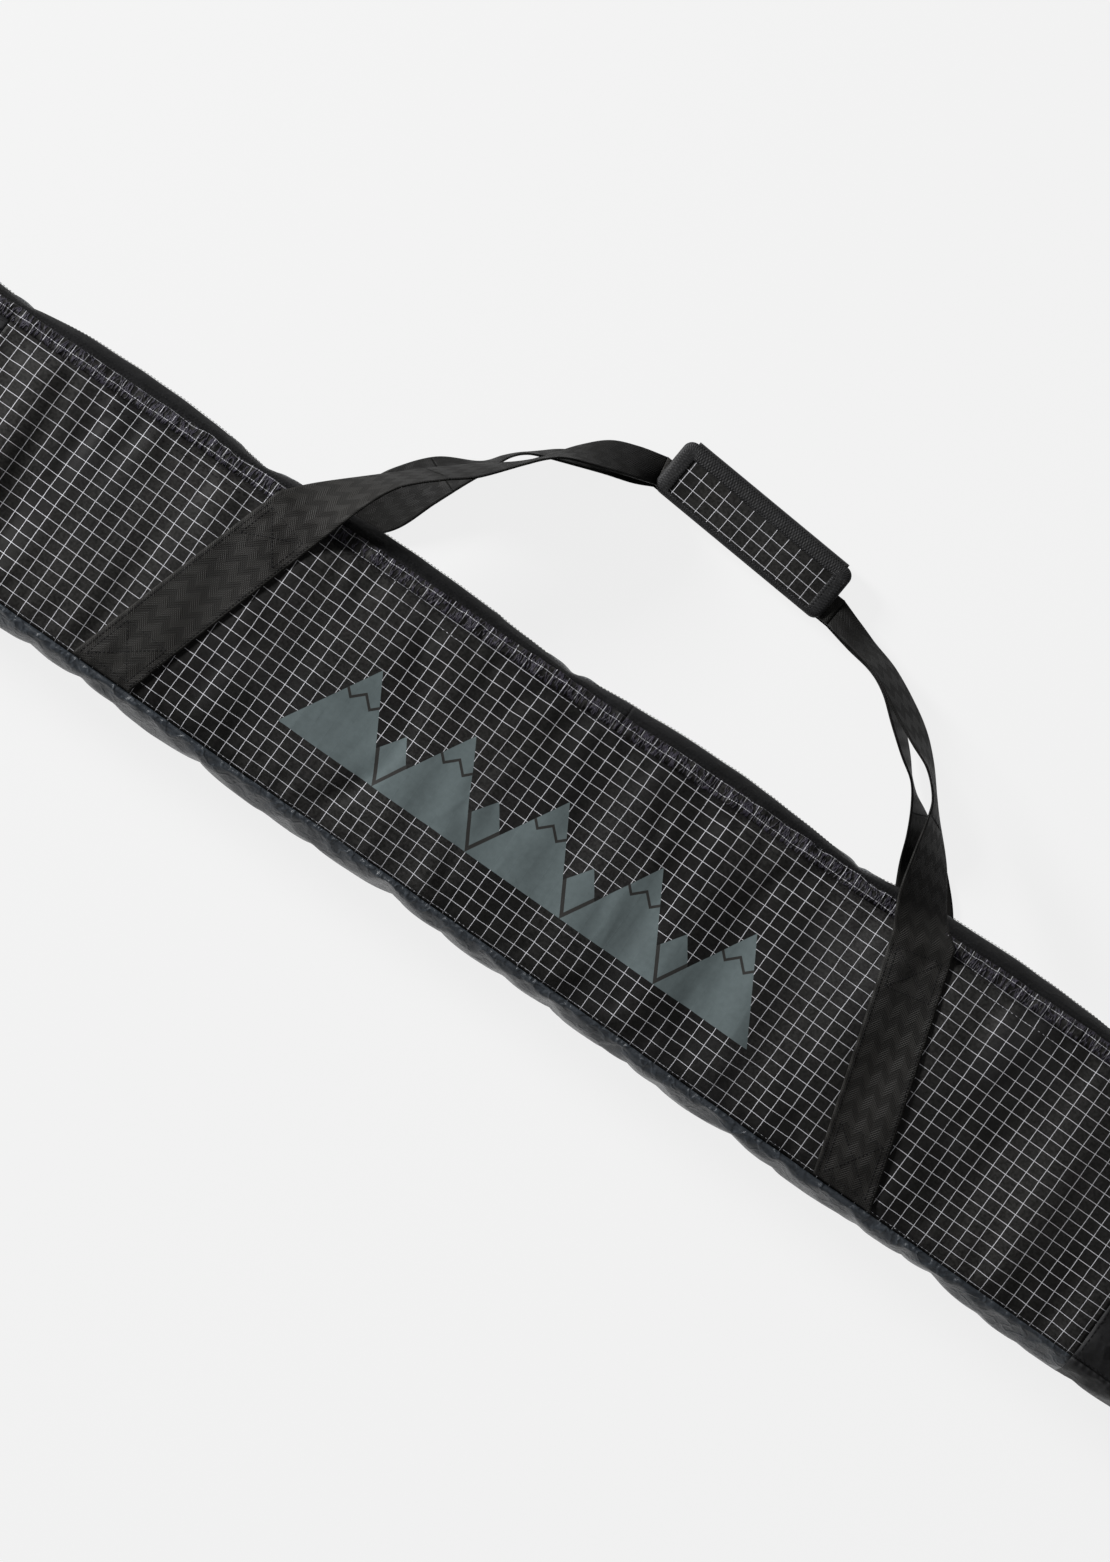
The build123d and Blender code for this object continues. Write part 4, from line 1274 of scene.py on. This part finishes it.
class SKIBAG_OT_straps(bpy.types.Operator):
    """Sews the four straps to the bag and hangs the two carrying loops from them"""

    bl_idname = "skibag.straps"
    bl_label = "Straps and loops"

    def sewn_rows(self, root, foot_x, foot_y, front):
        """Rows of points of a strap sewn flat on a panel, from its foot, cut level, to its head."""
        surface = bags_made["surface"]
        side = 1 if foot_x > 0 else -1
        head_outer, head_inner = (line[0 if side < 0 else -1] for line in root)
        half_foot = (head_outer - head_inner).length / 2 * 1.04
        foot_outer = Vector((foot_x + side * half_foot, foot_y, 0))
        foot_inner = Vector((foot_x - side * half_foot, foot_y, 0))
        rows = []
        for row in range(60):
            share = row / 60
            a, b = foot_outer.lerp(head_outer, share), foot_inner.lerp(head_inner, share)
            line = []
            for col in range(strap_cells + 1):
                at = a.lerp(b, col / strap_cells)
                head_z = head_outer.lerp(head_inner, col / strap_cells).z
                z = 1.0 * MM
                if front:
                    hit = surface.above(at.x, min(at.y, edge_y(at.x) - front_step_top - 1.5 * MM))
                    z = (hit.z if hit else front_z) + 1.2 * MM
                join = max(0.0, (share - 0.90) / 0.10)
                join = join * join * (3 - 2 * join)
                line.append(Vector((at.x, at.y, z * (1 - join) + head_z * join)))
            rows.append(line)
        return rows

    def strap_piece(self, name, rows, side, material):
        """One length of webbing from a strap's foot to the end of its root."""
        wide = strap_cells + 1
        points, faces, uvs = [], [], []
        run = 0.0
        for number, line in enumerate(rows):
            middle = strap_cells // 2
            if number:
                run += (line[middle] - rows[number - 1][middle]).length
            width = (line[-1] - line[0]).length
            points += line
            uvs += [(run, (col / strap_cells - 0.5) * width) for col in range(wide)]
        for row in range(len(rows) - 1):
            for col in range(strap_cells):
                base = row * wide + col
                face = (base, base + 1, base + wide + 1, base + wide)
                faces.append(face[::-1] if side < 0 else face)
        piece = thicken(new_mesh(name, points, faces, uvs), 1.6 * MM, offset=0.0)
        return dress(piece, finishes[material]), run

    def strap_stitches(self, grid, name, up):
        """Rows of stitches down both edges and a crossed box at each end."""
        rows, last = len(grid) - 1, len(grid[0]) - 1
        lift = Vector((0, 0, up))

        def spot(share, across):
            row, col = share * rows, across * last
            r, c = min(rows - 1, int(row)), min(last - 1, int(col))
            near = grid[r][c].lerp(grid[r][c + 1], col - c)
            far = grid[r + 1][c].lerp(grid[r + 1][c + 1], col - c)
            return near.lerp(far, row - r) + lift

        def run(a, b):
            return [spot(a[0] + (b[0] - a[0]) * i / 40, a[1] + (b[1] - a[1]) * i / 40) for i in range(41)]

        paths = [run((0.02, 0.06), (0.97, 0.06)), run((0.02, 0.94), (0.97, 0.94))]
        for low, high in ((0.03, 0.24), (0.80, 0.96)):
            corners = ((low, 0.14), (low, 0.86), (high, 0.86), (high, 0.14))
            paths += [run(a, b) for a, b in zip(corners, corners[1:] + corners[:1])]
            paths += [run(corners[0], corners[2]), run(corners[1], corners[3])]
        way = Vector((0, 0, 1 if up > 0 else -1))
        piece = new_mesh(name, *join_parts([stitch_line(path, way) for path in paths]))
        dress(piece, finishes["thread"], "bag")

    def execute(self, context):
        foot_y_front = node_low("front_strap_tail").y
        foot_y_back = node_low("back_strap_tail").y
        foot_spread = 332 * MM
        stitch_lift = 0.95 * MM
        loops = (
            ("front", "tail", front_loop_tail, foot_y_front, "webbing"),
            ("front", "tip", front_loop_tip, foot_y_front, "webbing"),
            ("back", "tail", back_loop_tail, foot_y_back, "back_webbing"),
            ("back", "tip", back_loop_tip, foot_y_back, "back_webbing"),
        )
        for face, end, stations, foot_y, material in loops:
            sign = -1 if end == "tail" else 1
            foot_x = joints["handle_lift"]["pos_m"][0] - 2.5 * MM + sign * foot_spread
            root, rest = cut_edges(loop_edges(stations), -sign)
            sewn = self.sewn_rows(root, foot_x, foot_y, face == "front")
            outward = stitch_lift if face == "front" else -stitch_lift
            self.strap_stitches(sewn, f"stitches_{face}_strap_{end}", outward)
            pairs = list(zip(*root))[::-sign]
            hanging = [[a.lerp(b, col / strap_cells) for col in range(strap_cells + 1)] for a, b in pairs]
            piece, start = self.strap_piece(f"strap_{face}_{end}", sewn + hanging, sign, material)
            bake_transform(piece)
            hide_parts(f"{face}_root_{end}", f"{face}_strap_{end}")
            leg = webbing_piece(f"loop_{face}_leg_{end}", rest, material, start)
            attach(leg, "handle")
            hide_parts(f"{face}_handle_webbing")
        self.grip()
        return {"FINISHED"}

    def grip(self):
        """The folded webbing of both loops inside the hand wrap."""
        for face, tail, tip, material, height in (
            ("front", front_loop_tail[-1], front_loop_tip[0], "webbing", 12.1 * MM),
            ("back", back_loop_tail[-1], back_loop_tip[0], "back_webbing", 8.0 * MM),
        ):
            outer = even_line([Vector(tail[0]) * MM, Vector(tip[0]) * MM], 6 * MM)
            inner = even_line([Vector(tail[1]) * MM, Vector(tip[1]) * MM], 6 * MM)
            count = len(outer) - 1
            for line in (outer, inner):
                for i, point in enumerate(line):
                    ease = min(1.0, min(i, count - i) / 3)
                    point.z = point.z * (1 - ease) + height * ease
            piece = webbing_piece(f"loop_{face}_grip", (outer, inner[:len(outer)]), material, thick=3.0 * MM)
            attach(piece, "handle")


# Hand wrap ------------------------------------------------------------------------------------------------

wrap_tilt = math.radians(-4.5)
wrap_way = Vector((math.cos(wrap_tilt), math.sin(wrap_tilt), 0))
wrap_up = Vector((-math.sin(wrap_tilt), math.cos(wrap_tilt), 0))
wrap_middle = (node_low("wrap_flap_shell") + node_high("wrap_flap_shell")) / 2


class SKIBAG_OT_wrap(bpy.types.Operator):
    """Makes the padded hand wrap that closes round both loops"""

    bl_idname = "skibag.wrap"
    bl_label = "Hand wrap"

    def rounded(self, half_length, low, high, radius, count=12):
        """Points round a rectangle with round corners, with the way out of each."""
        spots = []
        corners = ((half_length, high, 0), (-half_length, high, 90), (-half_length, low, 180),
                   (half_length, low, 270))
        for x, y, turn in corners:
            cx = x - math.copysign(radius, x)
            cy = y - radius if y == high else y + radius
            for i in range(count + 1):
                angle = math.radians(turn + 90 * i / count)
                out = Vector((math.cos(angle), math.sin(angle)))
                spots.append((Vector((cx, cy)) + out * radius, out))
        dense = []
        for (p, n), (q, m) in zip(spots, spots[1:] + spots[:1]):
            pieces = max(1, round((q - p).length / (4 * MM)))
            dense += [(p.lerp(q, i / pieces), n.lerp(m, i / pieces).normalized()) for i in range(pieces)]
        return dense

    def place(self, along, across, height):
        """The place of a point given in the wrap's own directions."""
        at = wrap_middle + wrap_way * along + wrap_up * across
        return Vector((at.x, at.y, height))

    def panel(self, name, half_length, half_width, face, crown, inward):
        """A padded panel: a crowned grid with a round-cornered outline."""
        columns, rows = 44, 14
        points, faces, uvs = [], [], []
        radius = 7 * MM
        for i in range(columns + 1):
            for j in range(rows + 1):
                u, v = 2 * i / columns - 1, 2 * j / rows - 1
                x, y = u * half_length, v * half_width
                over_x = max(0.0, abs(x) - (half_length - radius))
                over_y = max(0.0, abs(y) - (half_width - radius))
                reach = math.hypot(over_x, over_y)
                if over_x > 0 and over_y > 0 and reach > 0:
                    longest = max(over_x, over_y)
                    x = math.copysign(half_length - radius + over_x * longest / reach, x)
                    y = math.copysign(half_width - radius + over_y * longest / reach, y)
                edge = (1 - u ** 8) * (1 - v ** 6)
                live = 0.5 * MM * noise.noise(Vector((x * 60, y * 60, face * 50)))
                z = face - inward * (crown * edge ** 0.7 + live * edge)
                points.append(self.place(x, y, z))
                uvs.append((x + 3 * MM, y + 2 * MM))
        for i in range(columns):
            for j in range(rows):
                base = i * (rows + 1) + j
                quad = (base, base + rows + 1, base + rows + 2, base + 1)
                faces.append(quad if inward < 0 else quad[::-1])
        return thicken(new_mesh(name, points, faces, uvs), 1.2 * MM)

    def binding(self, name, half_length, low, high, outer_face, under_face, widths, inward):
        """Binding tape folded round the edge of one half."""
        outline = self.rounded(half_length, low, high, 8 * MM)
        near_width, far_width, end_width = widths
        points, faces, uvs = [], [], []
        run = 0.0
        for number, (spot, out) in enumerate(outline):
            if number:
                run += (spot - outline[number - 1][0]).length
            limit_x = half_length - end_width
            inner = Vector((max(-limit_x, min(limit_x, spot.x)),
                            max(low + near_width, min(high - far_width, spot.y))))
            puff = 0.35 * MM * noise.noise(Vector((run * 70, outer_face * 90, 1)))
            middle = (outer_face + under_face) / 2
            rows = (
                (inner, outer_face - inward * 0.15 * MM),
                (inner.lerp(spot, 0.06), outer_face - inward * (0.55 * MM + puff)),
                (inner.lerp(spot, 0.5), outer_face - inward * (0.75 * MM + puff)),
                (spot - out * 2.2 * MM, outer_face - inward * 0.1 * MM),
                (spot - out * 0.4 * MM, outer_face + inward * 1.2 * MM),
                (spot, middle),
                (spot - out * 0.4 * MM, under_face - inward * 1.0 * MM),
                (spot - out * 2.0 * MM, under_face - inward * 0.1 * MM),
                (spot - out * 3.2 * MM, under_face),
            )
            for row, (flat, height) in enumerate(rows):
                points.append(self.place(flat.x, flat.y, height))
                uvs.append((run, row * 1.6 * MM))
        wide, count = 9, len(outline)
        for number in range(count):
            after = (number + 1) % count
            for row in range(wide - 1):
                here, there = number * wide + row, after * wide + row
                quad = (here, there, there + 1, here + 1)
                faces.append(quad if inward > 0 else quad[::-1])
        piece = thicken(new_mesh(name, points, faces, uvs), 0.8 * MM)
        inner_line = [Vector(points[number * wide + 1]) for number in range(count)]
        inner_line.append(inner_line[0])
        centre = self.place(0, (low + high) / 2, outer_face)
        lift = Vector((0, 0, inward * 0.35 * MM))
        line = [p + (p - centre).normalized() * 1.0 * MM - lift for p in inner_line]
        stitches = stitch_line(line, Vector((0, 0, -inward)), 2.0 * MM, 0.8 * MM, 0.4 * MM)
        return piece, new_mesh(name.replace("binding", "stitches"), *stitches)

    def plate(self, name, low_x, high_x, low_y, high_y, low_z, high_z):
        """A thin strip with softened edges, in the wrap's own directions."""
        cells = max(2, round((high_x - low_x) / (3 * MM)))
        points, faces, uvs = [], [], []
        section = ((low_y, low_z), (low_y, high_z), ((low_y + high_y) / 2, high_z), (high_y, high_z),
                   (high_y, low_z))
        for i in range(cells + 1):
            x = low_x + (high_x - low_x) * i / cells
            for j, (y, z) in enumerate(section):
                points.append(self.place(x, y, z))
                uvs.append((x, j * 4 * MM))
        for i in range(cells):
            for j in range(5):
                base, after = i * 5 + j, i * 5 + (j + 1) % 5
                faces.append((base, after, after + 5, base + 5))
        faces.append(tuple(range(4, -1, -1)))
        faces.append(tuple(cells * 5 + j for j in range(5)))
        piece = new_mesh(name, points, faces, uvs)
        soft = piece.modifiers.new("Soft edge", "BEVEL")
        soft.width = min(0.4 * MM, (high_z - low_z) * 0.3)
        soft.segments = 2
        return settle(piece)

    def execute(self, context):
        reach, half_width = 80 * MM, 23 * MM
        floor, top = node_low("wrap_back_shell").z, node_high("wrap_flap_shell").z
        back_top, flap_low = node_high("wrap_back_lining").z, node_low("wrap_flap_lining").z
        size = (reach - 3 * MM, half_width - 2 * MM)
        flap = self.panel("wrap_flap_cloth", *size, top - 2.0 * MM, 1.7 * MM, -1)
        dress(flap, finishes["wrap"], "wrap_flap", ["wrap_flap_shell", "wrap_flap_foam"])
        lining = self.panel("wrap_flap_inside", *size, flap_low + 0.5 * MM, 0.2 * MM, 1)
        dress(lining, finishes["lining"], "wrap_flap", ["wrap_flap_lining"])
        tape, sewn = self.binding("wrap_flap_binding_tape", reach, -half_width, half_width, top - 0.4 * MM,
                                  flap_low, (4.5 * MM, 12 * MM, 13 * MM), -1)
        dress(tape, finishes["binding"], "wrap_flap", ["wrap_flap_binding"])
        dress(sewn, finishes["thread"], "wrap_flap")
        under = self.panel("wrap_back_cloth", *size, floor + 1.0 * MM, 0.3 * MM, 1)
        dress(under, finishes["wrap"], "handle", ["wrap_back_shell", "wrap_back_foam"])
        inside = self.panel("wrap_back_inside", *size, back_top - 0.5 * MM, 0.2 * MM, -1)
        dress(inside, finishes["lining"], "handle", ["wrap_back_lining"])
        tape, sewn = self.binding("wrap_back_binding_tape", reach, -half_width, half_width, floor + 0.4 * MM,
                                  back_top, (6 * MM, 10 * MM, 12 * MM), 1)
        dress(tape, finishes["binding"], "handle", ["wrap_back_binding"])
        dress(sewn, finishes["thread"], "handle")
        closure = (-74 * MM, 74 * MM, -half_width + 1.2 * MM, -half_width + 6.7 * MM)
        hook = self.plate("wrap_hook_strip", *closure, back_top, node_high("hook_tape").z)
        dress(hook, finishes["hook"], "handle", ["hook_tape"])
        loop = self.plate("wrap_loop_strip", *closure, node_low("loop_tape").z, flap_low)
        dress(loop, finishes["loop"], "wrap_flap", ["loop_tape"])
        self.spine(reach, half_width, floor, top)
        return {"FINISHED"}

    def spine(self, reach, half_width, floor, top):
        """The folded cloth that joins the two halves along the far side."""
        points, faces, uvs = [], [], []
        columns, rows = 44, 10
        middle = (floor + top) / 2
        for i in range(columns + 1):
            x = (2 * i / columns - 1) * (reach - 8 * MM)
            for j in range(rows + 1):
                angle = math.pi * (j / rows - 0.5)
                out = half_width - 0.6 * MM + 3.0 * MM * max(0.0, math.cos(angle)) ** 0.6
                z = middle + (middle - floor - 1.4 * MM) * math.sin(angle)
                points.append(self.place(x, out, z))
                uvs.append((x, j * 2.2 * MM))
        for i in range(columns):
            for j in range(rows):
                base = i * (rows + 1) + j
                faces.append((base, base + 1, base + rows + 2, base + rows + 1))
        piece = thicken(new_mesh("wrap_spine_tape", points, faces, uvs), 0.9 * MM)
        dress(piece, finishes["binding"])
        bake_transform(piece)
        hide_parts("wrap_spine")


# Zip, seams and inside ------------------------------------------------------------------------------------


class SKIBAG_OT_zip(bpy.types.Operator):
    """Makes the zip's coils and gives the sliders, pulls and stops their finish"""

    bl_idname = "skibag.zip"
    bl_label = "Zip"

    def coil(self, name, low, high, height):
        """One half of the coil: a thread wound along the zip, with its turns reaching past the middle."""
        pitch, reach, depth, thick, inside = 2.5 * MM, 1.15 * MM, 0.95 * MM, 0.34 * MM, -3.5 * MM
        turns = int((high - low) / pitch)
        steps, sides = 8, 4
        points, faces, uvs = [], [], []
        for number in range(turns * steps + 1):
            angle = 2 * math.pi * number / steps
            along = low + pitch * number / steps
            bulge = zip_swell(along)
            base = Vector((along * zip_way.x, edge_middle + along * zip_way.y, 0))
            centre = base + zip_out * (inside + depth * math.cos(angle) + bulge)
            centre.z = height + reach * math.sin(angle)
            out = (zip_out * math.cos(angle) + Vector((0, 0, math.sin(angle)))).normalized()
            for side in range(sides):
                turn = 2 * math.pi * side / sides
                points.append(centre + out * thick * math.cos(turn) + zip_way * thick * math.sin(turn))
                uvs.append((along, side * 0.4 * MM))
        for number in range(turns * steps):
            for side in range(sides):
                a, b = number * sides + side, number * sides + (side + 1) % sides
                faces.append((a, b, b + sides, a + sides))
        return dress(new_mesh(name, points, faces, uvs), finishes["coil"])

    def execute(self, context):
        for edge in ("front", "back"):
            height = (node_low(f"zip_coil_{edge}").z + node_high(f"zip_coil_{edge}").z) / 2
            for half, low, high, end in (("tail", zip_tail_x, 0.0, -1), ("tip", 0.0, zip_tip_x, 1)):
                piece = self.coil(f"coil_{edge}_{half}", low, high, height)
                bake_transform(piece)
                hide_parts(f"zip_coil_{edge}", f"zip_coil_{half}")
        for node, name in (("slider_a", "metal"), ("slider_b", "metal"), ("pull_a", "rubber"),
                           ("pull_b", "rubber"), ("zip_stops", "metal"), ("zip_tab_tail", "tab"),
                           ("zip_tab_tip", "tab")):
            carried = bpy.data.objects.get(node)
            if carried is None:
                raise RuntimeError(f"{node} is missing from the frame")
            for place in carried.material_slots:
                place.material = finishes[name]
        return {"FINISHED"}


class SKIBAG_OT_seams(bpy.types.Operator):
    """Stitches the seams and lays the binding inside them"""

    bl_idname = "skibag.seams"
    bl_label = "Seams"

    def execute(self, context):
        shell, surface = bags_made["shell"], bags_made["surface"]
        lift = Vector((0, 0, 0.12 * MM))
        stitch = (Vector((0, 0, 1)), 2.6 * MM, 1.0 * MM, 0.5 * MM)
        panel_low = bottom_y + front_step_bottom
        low_x, high_x, count = -half_length + 100 * MM, half_length - 100 * MM, 400
        parts = []
        for side, inset in ((1, 2.2 * MM), (1, 9.5 * MM), (-1, 2.2 * MM)):
            line = []
            for i in range(count + 1):
                x = low_x + (high_x - low_x) * i / count
                wander = 0.4 * MM * noise.noise(Vector((x * 30, side * 2 + inset * 100, 0)))
                if side > 0:
                    y = edge_y(x) - front_step_top - inset + wander
                else:
                    y = panel_low + inset + wander
                hit = surface.above(x, y)
                if hit:
                    line.append(hit + lift)
            parts.append(stitch_line(line, *stitch))
        for x in (-grid_half - 2.5 * MM, grid_half + 2.5 * MM):
            line = []
            panel_high = edge_y(x) - front_step_top
            for i in range(120):
                y = panel_low + 4 * MM + (panel_high - panel_low - 8 * MM) * i / 119
                hit = surface.above(x, y)
                if hit:
                    line.append(hit + lift)
            parts.append(stitch_line(line, *stitch))
        piece = new_mesh("seam_stitches", *join_parts(parts))
        dress(piece, finishes["thread"], "bag")
        self.inner_binding("inner_binding_front", shell.ring[0], "front_seam_binding", -1)
        self.inner_binding("inner_binding_back", shell.ring[-1], "back_seam_binding", 1)
        return {"FINISHED"}

    def inner_binding(self, name, ring, node, sign):
        """Tape over the raw edges of one seam, standing into the bag."""
        shell = bags_made["shell"]
        points, faces, uvs = [], [], []
        run = 0.0
        count = len(ring)
        lift = Vector((0, 0, sign))
        # The tape's section: how far in from the seam and how far above it, in millimetres
        section = ((2.2, 2.0), (2.4, 2.6), (3.4, 9.0), (4.4, 9.0), (4.6, 2.6))
        for number, index in enumerate(ring):
            at = shell.points[index]
            run += (shell.points[ring[number - 1]] - at).length if number else 0.0
            middle = Vector((max(-half_length + 0.09, min(half_length - 0.09, at.x)), 0.0, at.z))
            inward = (middle - at).normalized()
            for offset, height in section:
                points.append(at + inward * offset * MM + lift * height * MM)
                uvs.append((run, offset * 2 * MM))
        for number in range(count):
            after = (number + 1) % count
            for row in range(4):
                here, there = number * 5 + row, after * 5 + row
                faces.append((here, there, there + 1, here + 1))
        piece = thicken(new_mesh(name, points, faces, uvs), 0.4 * MM, levels=0)
        dress(piece, finishes["binding"], "bag", [node])


class SKIBAG_OT_inside(bpy.types.Operator):
    """Makes the padding and lining that show when the bag is open"""

    bl_idname = "skibag.inside"
    bl_label = "Padding and lining"

    def inner(self, name, inset, thickness, material, slot, nodes):
        """A smaller shell inside the bag, open under the zip."""
        shell = Shell(9 * MM, inset=inset, lively=False)
        keep = {"front_panel", "tail_end_front", "tip_end_front", "bottom_gusset", "tail_end_gusset",
                "tip_end_gusset"}
        faces = [face for face, label in zip(shell.faces, shell.labels) if label in keep]
        last = shell.ring[-1]
        around = shell.loop()
        bottom = [i for i, (_, _, side, _) in zip(last, around) if side == "bottom"]
        top = [i for i, (_, _, side, _) in zip(last, around) if side == "top"][::-1]
        points, uvs = list(shell.points), list(shell.uvs)
        rows = 8
        columns = []
        for low, high in zip(bottom, top):
            line = [low]
            for row in range(1, rows):
                at = points[low].lerp(points[high], row / rows)
                points.append(at)
                uvs.append((at.x, at.y))
                line.append(len(points) - 1)
            columns.append(line + [high])
        for a, b in zip(columns, columns[1:]):
            for row in range(rows):
                faces.append((a[row], a[row + 1], b[row + 1], b[row]))
        used = sorted({i for face in faces for i in face})
        where = {index: number for number, index in enumerate(used)}
        faces = [tuple(where[i] for i in face) for face in faces]
        piece = new_mesh(name, [points[i] for i in used], faces, [uvs[i] for i in used])
        thicken(piece, thickness, levels=0)
        return dress(piece, finishes[material], "bag", nodes)

    def execute(self, context):
        sides = ("front", "back", "bottom", "tail_end", "tip_end")
        padding = self.inner("padding", 6.0 * MM, 3.0 * MM, "foam", "foam",
                             [f"{side}_foam" for side in sides])
        self.inner("lining", 9.6 * MM, 0.9 * MM, "lining", "lining_cloth",
                   [f"{side}_lining" for side in sides])
        return {"FINISHED"}


class SKIBAG_PT_panel(bpy.types.Panel):
    """Lists the bag's sizes and the steps that make it"""

    bl_label = "Ski Bag"
    bl_idname = "SKIBAG_PT_panel"
    bl_space_type = "VIEW_3D"
    bl_region_type = "UI"
    bl_category = "Ski Bag"

    def draw(self, context):
        for group in (context.scene.bag_cloth, context.scene.bag_colours, context.scene.bag_print):
            box = self.layout.box()
            for name in group.bl_rna.properties.keys():
                if name not in ("rna_type", "name"):
                    box.prop(group, name)
        for step in steps:
            self.layout.operator(step.bl_idname)


steps = (SKIBAG_OT_stage, SKIBAG_OT_shell, SKIBAG_OT_back, SKIBAG_OT_seams, SKIBAG_OT_straps, SKIBAG_OT_wrap,
         SKIBAG_OT_zip, SKIBAG_OT_inside)
groups_of_sizes = (("bag_cloth", ClothSizes), ("bag_colours", ClothColours), ("bag_print", PrintSizes))


def register():
    for name, kind in groups_of_sizes:
        bpy.utils.register_class(kind)
        setattr(bpy.types.Scene, name, bpy.props.PointerProperty(type=kind))
    for kind in (*steps, SKIBAG_PT_panel):
        bpy.utils.register_class(kind)


def unregister():
    for kind in (SKIBAG_PT_panel, *reversed(steps)):
        bpy.utils.unregister_class(kind)
    for name, kind in groups_of_sizes:
        delattr(bpy.types.Scene, name)
        bpy.utils.unregister_class(kind)


def main():
    register()
    bpy.ops.skibag.stage()
    bpy.ops.skibag.shell()
    bpy.ops.skibag.back()
    bpy.ops.skibag.seams()
    bpy.ops.skibag.straps()
    bpy.ops.skibag.wrap()
    bpy.ops.skibag.zip()
    bpy.ops.skibag.inside()


if __name__ == "__main__":
    main()
